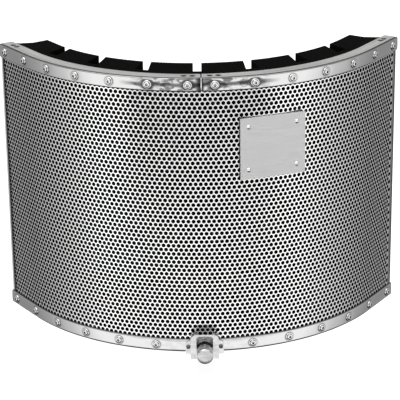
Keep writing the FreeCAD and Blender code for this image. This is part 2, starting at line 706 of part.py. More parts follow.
# ---------------------------------------------------------------- foam
BACKING_LEVELS = (("rail_height", "backing_gap"), ("frame_height", "-rail_height", "-backing_gap"))
backing = band_body("foam_backing_blank", ("strip_thickness", "sheet_thickness", "fit_gap"), FRAME_INNER,
                    *BACKING_LEVELS, trim=("backing_setback",))
relief_length = corner_thick + size("button_height") + size("bracket_relief")
relief_drop = corner_leg + size("bracket_relief")
bracket_relief = Part.makeBox(relief_length + CLEAR, total(*FRAME_INNER) + CLEAR, relief_drop,
                              Vector(-relief_length, -RAIL_MIDDLE, -relief_drop))
cut("foam_backing", backing, helper("bracket_reliefs", Part.makeCompound(
    [at_corner(bracket_relief, side, upper) for side, _, upper, _ in CORNERS])))

WEB_INNER = (*FRAME_INNER, "foam_base")
RIB_INNER = (*WEB_INNER, "foam_rib_depth")
foam_block = band_body("foam_block", (*FRAME_INNER, "fit_gap"), RIB_INNER, (),
                       ("frame_height", "foam_crown_height"), trim=("foam_setback",))


def above_slope():
    """What the ribs' sloping top leaves free, along the arc and both straight ends."""
    near, far = total(*FRAME_INNER), total(*RIB_INNER)
    head, crown = size("frame_height"), total("frame_height", "foam_crown_height")
    outline = [(near - CLEAR, head), (near + size("foam_slope_start"), head),
               (far, crown), (far + CLEAR, crown),
               (far + CLEAR, crown + CLEAR), (near - CLEAR, crown + CLEAR)]
    corners = [Vector(0, depth, level) for depth, level in outline]
    profile = Part.Face(Part.makePolygon(corners + corners[:1]))
    angle = size("arc_half_angle")
    bend = math.radians(angle) * size("arc_radius")
    run = size("end_straight") + CLEAR
    solids = []
    for side in (-1, 1):
        start = placed(profile, side * bend, 0, 0)
        tangent = Rotation(UP, side * angle).multVec(Vector(side, 0, 0))
        solids.append(start.extrude(tangent * run))
        solids.append(start.revolve(Vector(), UP, -side * (angle + TINY)))
    return Part.makeCompound(solids)


def beyond_end(side):
    """What the slanted end of the foam leaves free, drawn at the blank's end."""
    reach = total("foam_base", "foam_rib_depth")
    plan = [(CLEAR, -CLEAR), (0, -CLEAR), (0, 0), (-size("foam_end_middle"), reach / 2),
            (-size("foam_end_far"), reach), (-size("foam_end_far"), reach + CLEAR), (CLEAR, reach + CLEAR)]
    corners = [Vector(side * x, y, -CLEAR) for x, y in plan]
    face = Part.Face(Part.makePolygon(corners + corners[:1]))
    solid = face.extrude(UP * (total("frame_height", "foam_crown_height") + 2 * CLEAR))
    return placed(solid, side * (half_length() - size("foam_setback")), total(*FRAME_INNER), 0)


def foam_slot():
    """Gap between two square ribs that stand at an angle; drawn from the web, with -Y outward."""
    halves = []
    for depth in (0, size("foam_rib_depth") + CLEAR):
        radius = size("arc_radius") - total(*WEB_INNER) - depth
        halves.append((radius * size("foam_rib_pitch") / size("arc_radius") - size("foam_rib_width")) / 2)
    near, far = halves
    deep = size("foam_rib_depth") + CLEAR
    corners = [Vector(-near, 0, -CLEAR), Vector(near, 0, -CLEAR), Vector(far, deep, -CLEAR),
               Vector(-far, deep, -CLEAR)]
    plan = Part.Face(Part.makePolygon(corners + corners[:1]))
    return plan.extrude(UP * (total("frame_height", "foam_crown_height") + 2 * CLEAR))


gap_shape = foam_slot()
slots = []
slot_count = int(size("foam_slot_count"))
for rank in range(slot_count):
    along = size("foam_rib_shift") + (rank - (slot_count - 1) / 2) * size("foam_rib_pitch")
    slots.append(placed(gap_shape, along, total(*WEB_INNER), 0))
pocket_width = size("foam_pocket_width")
arm_pocket = Part.makeBox(pocket_width, size("foam_pocket_depth") + CLEAR, size("foam_pocket_height") + CLEAR,
                          Vector(-pocket_width / 2, -CLEAR, -CLEAR))
slots.append(placed(arm_pocket, 0, total(*FRAME_INNER), 0))
slots += [above_slope(), beyond_end(-1), beyond_end(1)]
foam_tools = helper("foam_tools", Part.makeCompound(slots))
cut("foam_liner", foam_block, foam_tools)

# ---------------------------------------------------------------- badge
badge_blank = box("badge_blank", ("badge_width",), ("badge_thickness",), ("badge_height",))
half_x, half_z = size("badge_width") / 2, size("badge_height") / 2
badge_ahead = size("badge_thickness") + size("fit_gap")
seat_point, badge_face_turn = station(size("badge_along"), size("strip_thickness") - badge_ahead,
                                      size("badge_level"))
badge_blank.Placement = Placement(seat_point, Rotation(UP, badge_face_turn)).multiply(
    Placement(Vector(-half_x, 0, -half_z), Rotation()))
cut("badge_plate", badge_blank, badge_bores)

spacer = rod(size("badge_pin_radius"), Vector(), Vector(0, size("badge_spacer_length"), 0))
spacer = spacer.cut(badge_hole)
feature("badge_spacers", Part.makeCompound(
    [on_badge(spacer, x, z, size("fit_gap")) for x, z in badge_pins]))
dome_radius, dome_height = size("badge_pin_radius"), size("badge_dome_height")
ball_radius = (dome_radius**2 + dome_height**2) / (2 * dome_height)
dome = Part.makeSphere(ball_radius, Vector(0, 0, dome_height - ball_radius))
dome = dome.common(Part.makeCylinder(ball_radius, dome_height))
pin = dome.fuse(rod(size("screw_shank_radius"), Vector(), Vector(0, 0, -size("badge_pin_length"))))
pin.Placement = Placement(Vector(), Rotation(Vector(1, 0, 0), 90))
feature("badge_screws", Part.makeCompound([on_badge(pin, x, z, badge_ahead) for x, z in badge_pins]))

# ---------------------------------------------------------------- saddle block
FRONT = Vector(0, -size("arc_radius"), 0)


def inverted_u(width, top, bottom, corner_radius, near, far):
    """Upright block with rounded upper corners, from near to far ahead of the strips' face."""
    body = Part.makeBox(width, far - near, top - bottom, Vector(-width / 2, -far, bottom))
    edges = [e for e in body.Edges if e.BoundBox.YLength > 0.5 * (far - near) and e.BoundBox.ZMin > top - 1]
    body = body.makeFillet(corner_radius, edges)
    body.translate(FRONT)
    return body


saddle_low = -size("saddle_drop")
block = inverted_u(size("saddle_width"), size("saddle_top"), saddle_low, size("saddle_corner"),
                   -size("saddle_reach"), size("saddle_depth"))
ear_span = 2 * size("ear_reach")
ears = inverted_u(ear_span, size("ear_high"), size("ear_low"), size("ear_corner"),
                  -size("saddle_reach"), size("ear_thickness"))
saddle_blank = helper("saddle_blank", block.fuse(ears).removeSplitter())
below_strip_top = Part.makeCylinder(size("arc_radius"), total("rail_height", "saddle_drop") + CLEAR,
                                    Vector(0, 0, saddle_low - CLEAR))
above_strip_top = Part.makeCylinder(total("arc_radius", "-strip_thickness"), size("saddle_top") + CLEAR)
pocket = inverted_u(size("pocket_width"), size("pocket_top"), saddle_low - CLEAR, size("pocket_corner"),
                    size("saddle_web"), size("saddle_depth") + CLEAR)
saddle_cuts = fuse("saddle_cuts", helper("saddle_back_low", below_strip_top),
                   helper("saddle_back_high", above_strip_top), helper("saddle_pocket", pocket),
                   stem_slot, ear_holes)
cut("saddle_block", saddle_blank, saddle_cuts)
ear_screw = ear_screw_solid(total(*FRAME_INNER))
ear_screws = []
for spot in EAR_SCREWS:
    ear_screws.append(ear_screw.copy())
    ear_screws[-1].translate(spot + OUT * size("ear_thickness"))
feature("saddle_screws", Part.makeCompound(ear_screws))

# ---------------------------------------------------------------- clamp knob
AXIS = Vector(0, -size("arc_radius"), size("stem_level"))
knob_end = size("knob_reach")
head_back = knob_end - size("knob_head_length")
ring_back = head_back - size("knob_ring_length")
boss_back = size("saddle_web") + size("fit_gap")
arm_face = total(*FRAME_INNER, "bridge_thickness", "arm_gap")
stem_tip = -(arm_face + total("arm_thickness", "stem_past_arm"))
knob_solid = [
    rod(size("knob_radius"), AXIS + OUT * boss_back, AXIS + OUT * ring_back),
    rod(size("knob_neck_radius"), AXIS + OUT * ring_back, AXIS + OUT * head_back),
    rod(size("knob_radius"), AXIS + OUT * head_back, AXIS + OUT * knob_end),
]
knob = knob_solid[0].fuse(knob_solid[1:]).removeSplitter()
end_rim = [e for e in knob.Edges if e.BoundBox.YLength < TINY and e.BoundBox.YMax < AXIS.y - knob_end + TINY]
knob = knob.makeChamfer(size("knob_chamfer"), end_rim)
bore = rod(size("stem_radius"), AXIS, AXIS + OUT * head_back)
feature("clamp_knob", knob.cut(bore))
gap = size("fit_gap")
ring = rod(size("knob_ring_radius"), AXIS + OUT * (ring_back + gap), AXIS + OUT * (head_back - gap))
ring = ring.cut(rod(size("knob_neck_radius"), AXIS, AXIS + OUT * head_back))
feature("knob_grip_ring", ring)
feature("clamp_stem", rod(size("stem_radius"), AXIS + OUT * stem_tip, AXIS + OUT * head_back))

# ---------------------------------------------------------------- arm
arm = doc.addObject("PartDesign::Body", "arm_body")
profile = new_sketch(arm, "arm_profile", "YZ_Plane")
face_y = arm_face - size("stand_setback")
top_z = size("frame_level") + size("arm_upright")
thick, bend = size("arm_thickness"), size("arm_bend")
run_top, run_low = size("arm_top"), size("arm_top") - thick
outline = [
    Vector(face_y, top_z, 0),
    Vector(face_y, run_low + bend + thick, 0),
    Vector(face_y + bend + thick, run_low, 0),
    Vector(size("arm_end"), run_low, 0),
    Vector(size("arm_end"), run_top, 0),
    Vector(face_y + thick + bend, run_top, 0),
    Vector(face_y + thick, run_top + bend, 0),
    Vector(face_y + thick, top_z, 0),
]
bend_centre = Vector(face_y + thick + bend, run_top + bend, 0)
outer_bend = Part.ArcOfCircle(Part.Circle(bend_centre, UP, bend + thick), math.pi, 1.5 * math.pi)
inner_bend = Part.ArcOfCircle(Part.Circle(bend_centre, UP, bend), math.pi, 1.5 * math.pi)
lines = [(0, 1), (2, 3), (3, 4), (4, 5), (6, 7), (7, 0)]
down, out_run, tip, back_run, rise, crown = (
    profile.addGeometry(Part.LineSegment(outline[a], outline[b])) for a, b in lines
)
outer_curve = profile.addGeometry(outer_bend)
inner_curve = profile.addGeometry(inner_bend)
rule = Sketcher.Constraint
for first, first_end, second, second_end in (
    (out_run, 2, tip, 1), (tip, 2, back_run, 1), (rise, 2, crown, 1), (crown, 2, down, 1),
):
    profile.addConstraint(rule("Coincident", first, first_end, second, second_end))
for first, first_end, second, second_end in (
    (down, 2, outer_curve, 1), (outer_curve, 2, out_run, 1),
    (back_run, 2, inner_curve, 2), (inner_curve, 1, rise, 1),
):
    profile.addConstraint(rule("Tangent", first, first_end, second, second_end))
profile.addConstraint(rule("Coincident", outer_curve, 3, inner_curve, 3))
for line in (down, rise, tip):
    profile.addConstraint(rule("Vertical", line))
for line in (out_run, crown):
    profile.addConstraint(rule("Horizontal", line))
dimension(profile, "thickness", rule("Distance", tip, thick), ["arm_thickness"])
dimension(profile, "bend", rule("Radius", inner_curve, bend), ["arm_bend"])
dimension(profile, "arm_end", rule("DistanceX", -1, 1, tip, 2, size("arm_end")), ["arm_end"])
dimension(profile, "arm_top", rule("DistanceY", -1, 1, tip, 2, run_top), ["arm_top"])
dimension(profile, "upright_top", rule("DistanceY", -1, 1, crown, 2, top_z), ["frame_level", "arm_upright"])
dimension(profile, "upright_face", rule("DistanceX", crown, 2, -1, 1, -face_y),
          ["stand_setback", "-strip_thickness", "-sheet_thickness", "-rail_depth", "-bridge_thickness",
           "-arm_gap"])
profile.setExpression("AttachmentOffset.Base.z", "-sizes.arm_width / 2")
arm_pad = arm.newObject("PartDesign::Pad", "arm_pad")
arm_pad.Profile = profile
bind(arm_pad, "Length", "arm_width")
arm.Tip = arm_pad
doc.recompute()

slot_radius = size("arm_slot_width") / 2
slot_near, slot_far = size("arm_slot_near") + slot_radius, size("arm_slot_far") - slot_radius
arm_slot = Part.makeBox(2 * slot_radius, slot_far - slot_near, 2 * thick,
                        Vector(-slot_radius, slot_near, run_low - thick / 2))
for y in (slot_near, slot_far):
    arm_slot = arm_slot.fuse(Part.makeCylinder(slot_radius, 2 * thick, Vector(0, y, run_low - thick / 2)))
stem_axis = Vector(0, -size("stand_setback"), total("frame_level", "stem_level"))
stem_bore = rod(total("stem_radius", "running_gap"), stem_axis, stem_axis - OUT * (arm_face + thick + CLEAR))
cut("mount_arm", arm, helper("arm_holes", Part.makeCompound([arm_slot, stem_bore])), shield=False)

# ---------------------------------------------------------------- slide block, washer, nut and stand adapter
foot_box = box("block_foot", ("block_width",), ("block_length",), ("block_thickness",))
foot_box.setExpression("Placement.Base.x", "-sizes.block_width / 2")
foot_box.setExpression("Placement.Base.y", "-sizes.block_length / 2")
shift(foot_box, z=("adapter_height", "fit_gap"))
neck_box = box("block_neck", ("block_neck_width",), ("block_neck_length",),
               ("block_neck_top", "-adapter_height", "-fit_gap", "-block_thickness"))
neck_box.setExpression("Placement.Base.x", "-sizes.block_neck_width / 2")
neck_box.setExpression("Placement.Base.y", "-sizes.block_neck_length / 2")
shift(neck_box, z=("adapter_height", "fit_gap", "block_thickness"))
stud_bore = doc.addObject("Part::Cylinder", "stud_bore")
bind(stud_bore, "Radius", "stud_radius", "running_gap")
bind(stud_bore, "Height", "nut_level")
cut("slide_block", fuse("block_blank", foot_box, neck_box), stud_bore, shield=False)

washer_disc = doc.addObject("Part::Cylinder", "washer_disc")
bind(washer_disc, "Radius", "washer_radius")
bind(washer_disc, "Height", "washer_thickness")
shift(washer_disc, z=("arm_top", "fit_gap"))
tall_bore = doc.addObject("Part::Cylinder", "tall_bore")
bind(tall_bore, "Radius", "stud_radius", "running_gap")
bind(tall_bore, "Height", "mic_post_level")
cut("clamp_washer", washer_disc, tall_bore, shield=False)

nut_disc = doc.addObject("Part::Cylinder", "nut_disc")
bind(nut_disc, "Radius", "nut_radius")
bind(nut_disc, "Height", "nut_height")
shift(nut_disc, z=("nut_level",))
cut("lock_nut", nut_disc, tall_bore, shield=False)


def revolved(name, outline_points):
    """Body turned about Z from an outline of (radius, level) pairs."""
    body = doc.addObject("PartDesign::Body", name)
    body.Label = name
    sketch = new_sketch(body, name + "_outline", "XZ_Plane")
    count = len(outline_points)
    corners = [Vector(size(radius) if radius else 0.0, total(*level), 0) for radius, level in outline_points]
    for index in range(count):
        sketch.addGeometry(Part.LineSegment(corners[index], corners[(index + 1) % count]))
    for index in range(count):
        sketch.addConstraint(rule("Coincident", index, 2, (index + 1) % count, 1))
    for index, (radius, level) in enumerate(outline_points):
        if radius:
            dimension(sketch, f"radius_{index}", rule("DistanceX", -1, 1, index, 1, size(radius)), [radius])
        else:
            sketch.addConstraint(rule("PointOnObject", index, 1, -2))
        if level:
            dimension(sketch, f"level_{index}", rule("DistanceY", -1, 1, index, 1, total(*level)), level)
        else:
            sketch.addConstraint(rule("PointOnObject", index, 1, -1))
    turn = body.newObject("PartDesign::Revolution", name + "_turn")
    turn.Profile = sketch
    turn.ReferenceAxis = (sketch, ["V_Axis"])
    turn.Angle = 360
    body.Tip = turn
    doc.recompute()
    return body


STUD_TOP = ("mic_post_level", "post_flange_height")
revolved("stand_adapter", [
    ("thread_radius", ()),
    ("adapter_radius", ()),
    ("adapter_radius", ("adapter_height",)),
    ("stud_radius", ("adapter_height",)),
    ("stud_radius", STUD_TOP),
    (None, STUD_TOP),
    (None, ("thread_depth",)),
    ("thread_radius", ("thread_depth",)),
])
THREAD_START = (*STUD_TOP, "relief_height")
POST_TOP = (*THREAD_START, "mic_thread_length")
revolved("mic_post", [
    ("stud_radius", ("mic_post_level",)),
    ("post_flange_radius", ("mic_post_level",)),
    ("post_flange_radius", STUD_TOP),
    ("relief_radius", STUD_TOP),
    ("relief_radius", THREAD_START),
    ("thread_radius", THREAD_START),
    ("thread_radius", POST_TOP),
    (None, POST_TOP),
    (None, STUD_TOP),
    ("stud_radius", STUD_TOP),
])
lock_ring = doc.addObject("Part::Cylinder", "lock_ring_disc")
bind(lock_ring, "Radius", "ring_radius")
bind(lock_ring, "Height", "ring_height")
shift(lock_ring, z=(*STUD_TOP, "fit_gap"))
ring_bore = doc.addObject("Part::Cylinder", "lock_ring_bore")
bind(ring_bore, "Radius", "relief_radius", "running_gap")
bind(ring_bore, "Height", *POST_TOP)
cut("mic_lock_ring", lock_ring, ring_bore, shield=False)

# ---------------------------------------------------------------- checks and export
NODES = [
    "perforated_sheet", "upper_strip_right", "upper_strip_left", "foot_strip_right", "foot_strip_left",
    "upper_rail_right", "upper_rail_left", "foot_rail_right", "foot_rail_left",
    "end_post_right", "end_post_left", "upper_joint_plate", "foot_bridge_plate",
    "upper_corner_bracket_right", "upper_corner_bracket_left",
    "foot_corner_bracket_right", "foot_corner_bracket_left",
    "upper_strip_screws", "foot_strip_screws", "rail_joint_screws", "corner_screws",
    "post_screws",
    "foam_backing", "foam_liner", "badge_plate", "badge_spacers", "badge_screws",
    "saddle_block", "saddle_screws", "clamp_knob", "knob_grip_ring", "clamp_stem",
    "mount_arm", "slide_block", "clamp_washer", "lock_nut", "stand_adapter", "mic_post", "mic_lock_ring",
]
doc.recompute()
failed = [t.Name for t in doc.Objects if any(word in ("Invalid", "Error") for word in t.State)]
if failed:
    raise RuntimeError(f"failed objects: {failed}")
os.makedirs("parts", exist_ok=True)
for node in NODES:
    thing = next(t for t in doc.Objects if t.Label == node)
    shape = thing.Shape
    if shape.isNull() or not shape.isValid() or not shape.Solids:
        raise RuntimeError(f"bad shape: {node}")
    shape.exportStep(f"parts/{node}.step")
    box_size = shape.BoundBox
    print(f"{node:28s} solids {len(shape.Solids):3d} volume {shape.Volume:10.0f} "
          f"x {box_size.XMin:7.1f} {box_size.XMax:7.1f} y {box_size.YMin:7.1f} {box_size.YMax:7.1f} "
          f"z {box_size.ZMin:7.1f} {box_size.ZMax:7.1f}")
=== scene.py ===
"""Looks of a microphone isolation shield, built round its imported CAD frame.

Units are metres, in the CAD row frame: the origin is the mouth of the stand thread, +Z is up, and +Y
points from the shield towards the microphone.
"""

import json
import math

import bmesh
import bpy
import numpy as np
from mathutils import Matrix, Vector, noise


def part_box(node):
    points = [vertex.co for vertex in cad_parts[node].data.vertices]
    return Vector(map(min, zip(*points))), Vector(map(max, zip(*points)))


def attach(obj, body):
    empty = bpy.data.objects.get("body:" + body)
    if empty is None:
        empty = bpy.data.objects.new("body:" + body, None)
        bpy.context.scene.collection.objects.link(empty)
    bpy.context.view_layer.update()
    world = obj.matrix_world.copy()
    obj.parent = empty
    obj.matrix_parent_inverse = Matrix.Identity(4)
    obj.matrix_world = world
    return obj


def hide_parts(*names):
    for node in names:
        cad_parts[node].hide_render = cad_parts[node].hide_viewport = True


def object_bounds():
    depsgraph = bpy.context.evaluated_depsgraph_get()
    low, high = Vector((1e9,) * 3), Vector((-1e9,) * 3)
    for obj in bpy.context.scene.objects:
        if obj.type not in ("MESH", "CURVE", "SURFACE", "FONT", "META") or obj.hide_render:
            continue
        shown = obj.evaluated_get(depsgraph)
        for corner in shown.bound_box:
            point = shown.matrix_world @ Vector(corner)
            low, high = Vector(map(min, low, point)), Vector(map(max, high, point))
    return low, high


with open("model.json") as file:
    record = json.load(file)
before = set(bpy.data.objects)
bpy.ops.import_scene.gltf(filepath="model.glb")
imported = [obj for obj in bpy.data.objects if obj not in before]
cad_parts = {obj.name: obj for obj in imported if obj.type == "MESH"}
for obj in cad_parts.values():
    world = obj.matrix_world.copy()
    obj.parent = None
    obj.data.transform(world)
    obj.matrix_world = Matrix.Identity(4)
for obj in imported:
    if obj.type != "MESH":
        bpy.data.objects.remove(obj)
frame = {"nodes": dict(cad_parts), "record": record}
cad_low, cad_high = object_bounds()
nodes = frame["nodes"]
MM = 0.001

# ---------------------------------------------------------------- the shield's own coordinates
ARC_RADIUS = 235 * MM
ARC_HALF_ANGLE = math.radians(56.4)
END_STRAIGHT = 58 * MM
POST_WIDTH = 6.2 * MM
STRIP_THICKNESS = 2 * MM
SHEET_THICKNESS = 1 * MM
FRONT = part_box("upper_strip_right")[0].y
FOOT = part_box("foot_strip_right")[0].z
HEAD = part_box("upper_strip_right")[1].z
STRIP_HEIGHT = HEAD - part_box("upper_strip_right")[0].z
ARC_LENGTH = ARC_RADIUS * ARC_HALF_ANGLE
ARC_CENTRE = Vector((0, FRONT + ARC_RADIUS, 0))
UP = Vector((0, 0, 1))


def station(along, inward, level):
    """Point on the shield; along the strips' outer face, inward from it, and level above the frame."""
    side = -1 if along < 0 else 1
    turn = min(abs(along), ARC_LENGTH) / ARC_RADIUS
    beyond = max(abs(along) - ARC_LENGTH, 0)
    radius = ARC_RADIUS - inward
    x = radius * math.sin(turn) + beyond * math.cos(turn)
    y = -radius * math.cos(turn) + beyond * math.sin(turn)
    return Vector((side * x, ARC_CENTRE.y + y, FOOT + level))


def shield_coordinates(point):
    """(along, inward, level) of a point, the reverse of station."""
    side = -1 if point.x < 0 else 1
    x, y = abs(point.x), point.y - ARC_CENTRE.y
    turn = min(math.atan2(x, -y), ARC_HALF_ANGLE)
    radius = x * math.sin(turn) - y * math.cos(turn)
    beyond = x * math.cos(turn) + y * math.sin(turn)
    return side * (turn * ARC_RADIUS + beyond), ARC_RADIUS - radius, point.z - FOOT


# ---------------------------------------------------------------- material kit
def new_material(name, colour, metallic, roughness):
    """Principled material with plain sockets, its node tree and its shader."""
    material = bpy.data.materials.new(name)
    material.use_nodes = True
    tree = material.node_tree
    shader = tree.nodes["Principled BSDF"]
    shader.inputs["Base Color"].default_value = (*colour, 1)
    shader.inputs["Metallic"].default_value = metallic
    shader.inputs["Roughness"].default_value = roughness
    return material, tree, shader


def math_node(tree, operation, a, b=0.0):
    """Math node; a and b are sockets or numbers. Returns its output."""
    node = tree.nodes.new("ShaderNodeMath")
    node.operation = operation
    for index, value in enumerate((a, b)):
        if isinstance(value, (int, float)):
            node.inputs[index].default_value = value
        else:
            tree.links.new(value, node.inputs[index])
    return node.outputs[0]


def place_socket(tree, scale, wrapped=False):
    """Position in metres times a scale per axis; wrapped turns X and Y into along the arc and depth."""
    coordinates = tree.nodes.new("ShaderNodeTexCoord").outputs["Object"]
    if wrapped:
        split = tree.nodes.new("ShaderNodeSeparateXYZ")
        tree.links.new(coordinates, split.inputs[0])
        x, z = split.outputs[0], split.outputs[2]
        y = math_node(tree, "SUBTRACT", ARC_CENTRE.y, split.outputs[1])
        turn = math_node(tree, "ARCTAN2", x, y)
        squares = math_node(tree, "ADD", math_node(tree, "POWER", x, 2), math_node(tree, "POWER", y, 2))
        radius = math_node(tree, "SQRT", squares)
        join = tree.nodes.new("ShaderNodeCombineXYZ")
        tree.links.new(math_node(tree, "MULTIPLY", turn, ARC_RADIUS), join.inputs[0])
        tree.links.new(radius, join.inputs[1])
        tree.links.new(z, join.inputs[2])
        coordinates = join.outputs[0]
    mapping = tree.nodes.new("ShaderNodeMapping")
    mapping.inputs["Scale"].default_value = scale
    tree.links.new(coordinates, mapping.inputs[0])
    return mapping.outputs[0]


def noise_socket(tree, place, detail=3.0, distortion=0.0):
    """Noise, from about 0.2 to 0.8."""
    node = tree.nodes.new("ShaderNodeTexNoise")
    node.inputs["Scale"].default_value = 1.0
    node.inputs["Detail"].default_value = detail
    node.inputs["Distortion"].default_value = distortion
    tree.links.new(place, node.inputs["Vector"])
    return node.outputs["Fac"]


def ramp_socket(tree, factor, low, high, from_low=0.3, from_high=0.7):
    """Factor stretched from one range to another, as a number."""
    node = tree.nodes.new("ShaderNodeMapRange")
    for name, value in (("From Min", from_low), ("From Max", from_high), ("To Min", low), ("To Max", high)):
        node.inputs[name].default_value = value
    tree.links.new(factor, node.inputs["Value"])
    return node.outputs[0]


def tint(tree, shader, factor, dark, light):
    """Base colour between two colours."""
    node = tree.nodes.new("ShaderNodeMix")
    node.data_type = "RGBA"
    node.inputs["A"].default_value = (*dark, 1)
    node.inputs["B"].default_value = (*light, 1)
    tree.links.new(factor, node.inputs["Factor"])
    tree.links.new(node.outputs["Result"], shader.inputs["Base Color"])


def relief(tree, shader, height, distance, strength=1.0):
    """Bump from a height socket; distance is in metres."""
    node = tree.nodes.new("ShaderNodeBump")
    node.inputs["Distance"].default_value = distance
    node.inputs["Strength"].default_value = strength
    tree.links.new(height, node.inputs["Height"])
    tree.links.new(node.outputs[0], shader.inputs["Normal"])


# ---------------------------------------------------------------- materials
# Share of the base colour left under full painted shade (painted shadows, shade and dark reflections).
PAINTED_SHADE_DARK = 0.06


def polished_material(name, colour, roughness, ripple, wrapped=True, shade_painted=False):
    """Polished plating with long soft ripples and finely varied gloss; one given painted shade darkens its
    base colour where its mesh's attribute says: painted shadows, painted shade and dark painted reflections.
    """
    material, tree, shader = new_material(name, colour, 1.0, roughness)
    if shade_painted:
        # Mesh attribute holding painted shade and painted reflections.
        painted_shades = tree.nodes.new("ShaderNodeAttribute")
        painted_shades.attribute_name = "painted_shade"
        tint(tree, shader, painted_shades.outputs["Fac"], colour, tuple(PAINTED_SHADE_DARK * part for part in colour))
    smear = noise_socket(tree, place_socket(tree, (60, 60, 220), wrapped), 4.0, 0.4)
    tree.links.new(ramp_socket(tree, smear, roughness * 0.7, roughness * 1.5), shader.inputs["Roughness"])
    relief(tree, shader, noise_socket(tree, place_socket(tree, (38, 38, 30), wrapped), 1.0), ripple)
    return material


def cast_material(name, light, dark, roughness):
    """Satin casting whose level top faces are glossier and get painted shade, a darker base colour standing
    in for the dark reflection on top.
    """
    material, tree, shader = new_material(name, light, 1.0, roughness)
    split = tree.nodes.new("ShaderNodeSeparateXYZ")
    tree.links.new(tree.nodes.new("ShaderNodeNewGeometry").outputs["Normal"], split.inputs[0])
    # Painted shade on the upward-facing faces.
    level = ramp_socket(tree, split.outputs[2], 0.0, 1.0, 0.35, 0.75)
    tint(tree, shader, level, light, dark)
    smear = noise_socket(tree, place_socket(tree, (60, 60, 220)), 4.0, 0.4)
    satin = ramp_socket(tree, smear, roughness * 0.7, roughness * 1.5)
    gloss = math_node(tree, "SUBTRACT", 1.0, math_node(tree, "MULTIPLY", level, 0.7))
    tree.links.new(math_node(tree, "MULTIPLY", satin, gloss), shader.inputs["Roughness"])
    relief(tree, shader, smear, 0.00004)
    return material


def brushed_material(name, dark, light, roughness, grain, wrapped=True):
    """Metal brushed along its grain; grain holds the scale of the lines per axis."""
    material, tree, shader = new_material(name, light, 1.0, roughness)
    lines = noise_socket(tree, place_socket(tree, grain, wrapped), 5.0)
    tree.links.new(ramp_socket(tree, lines, roughness * 0.75, roughness * 1.3), shader.inputs["Roughness"])
    tint(tree, shader, ramp_socket(tree, lines, 0.0, 1.0), dark, light)
    relief(tree, shader, lines, 0.00006)
    return material


def post_material(name, stops):
    """Polished end post with painted light and shade across its width: bright painted reflection and a dark
    painted shadow line; stops are (share of the width, level).
    """
    material = brushed_material(name, (0.70, 0.70, 0.70), (0.92, 0.92, 0.92), 0.26, (1800, 1800, 12), False)
    tree = material.node_tree
    shader = tree.nodes["Principled BSDF"]
    shader.inputs["Metallic"].default_value = 0.75
    split = tree.nodes.new("ShaderNodeSeparateXYZ")
    tree.links.new(place_socket(tree, (1, 1, 1)), split.inputs[0])
    sideways = math_node(tree, "ABSOLUTE", split.outputs[0])
    across = math_node(tree, "MULTIPLY", sideways, math.cos(ARC_HALF_ANGLE))
    inward = math_node(tree, "SUBTRACT", split.outputs[1], ARC_CENTRE.y)
    inward = math_node(tree, "MULTIPLY", inward, math.sin(ARC_HALF_ANGLE))
    beyond = math_node(tree, "ADD", across, inward)
    ramp = tree.nodes.new("ShaderNodeValToRGB")
    share = ramp_socket(tree, beyond, 0.0, 1.0, END_STRAIGHT - POST_WIDTH, END_STRAIGHT)
    tree.links.new(share, ramp.inputs[0])
    for position, _ in stops[1:-1]:
        ramp.color_ramp.elements.new(position)
    for element, (position, level) in zip(ramp.color_ramp.elements, stops):
        element.position = position
        element.color = (level, level, level, 1)
    light_and_shade_bands = tree.nodes.new("ShaderNodeMix")
    light_and_shade_bands.data_type = "RGBA"
    light_and_shade_bands.blend_type = "MULTIPLY"
    light_and_shade_bands.inputs["Factor"].default_value = 1.0
    tree.links.new(shader.inputs["Base Color"].links[0].from_socket, light_and_shade_bands.inputs["A"])
    tree.links.new(ramp.outputs[0], light_and_shade_bands.inputs["B"])
    tree.links.new(light_and_shade_bands.outputs["Result"], shader.inputs["Base Color"])
    return material


def foam_material(name):
    """Open-cell foam: tiny pores over a near-black matt base."""
    material, tree, shader = new_material(name, (0.005, 0.0045, 0.0045), 0.0, 0.95)
    shader.inputs["Specular IOR Level"].default_value = 0.03
    cells = tree.nodes.new("ShaderNodeTexVoronoi")
    cells.inputs["Scale"].default_value = 900.0
    tree.links.new(place_socket(tree, (1, 1, 1)), cells.inputs["Vector"])
    pores = ramp_socket(tree, cells.outputs["Distance"], 0.0, 1.0, 0.1, 0.7)
    tint(tree, shader, pores, (0.0003, 0.0003, 0.0003), (0.0024, 0.0020, 0.0020))
    relief(tree, shader, pores, 0.0005, 0.8)
    return material


def rubber_material(name):
    """Dark rubber with a dusty fine grain."""
    material, tree, shader = new_material(name, (0.008, 0.008, 0.008), 0.0, 0.7)
    shader.inputs["Specular IOR Level"].default_value = 0.15
    grain = noise_socket(tree, place_socket(tree, (1800, 1800, 1800)), 2.0)
    tree.links.new(ramp_socket(tree, grain, 0.6, 0.8), shader.inputs["Roughness"])
    tint(tree, shader, ramp_socket(tree, grain, 0.0, 1.0), (0.004, 0.004, 0.004), (0.012, 0.012, 0.012))
    relief(tree, shader, grain, 0.00005)
    return material


PERFORATED = polished_material("perforated_steel", (0.93, 0.93, 0.93), 0.18, 0.00004)
# Near-black painted shade: on the hole walls it stands in for the shade inside the holes, and on a thin band
# at each sheet end it is a painted shadow line along the post.
PAINTED_SHADE_EDGE, _, painted_shade_shader = new_material("painted_shade_edge", (0.004, 0.004, 0.004), 0.0, 0.8)
painted_shade_shader.inputs["Specular IOR Level"].default_value = 0.02
# The strips darken by their mesh's painted shade.
STRIP = polished_material("polished_strip", (0.64, 0.64, 0.64), 0.06, 0.00030, True, True)
RAIL = brushed_material("brushed_rail", (0.36, 0.36, 0.355), (0.66, 0.66, 0.65), 0.32, (14, 2600, 2600))
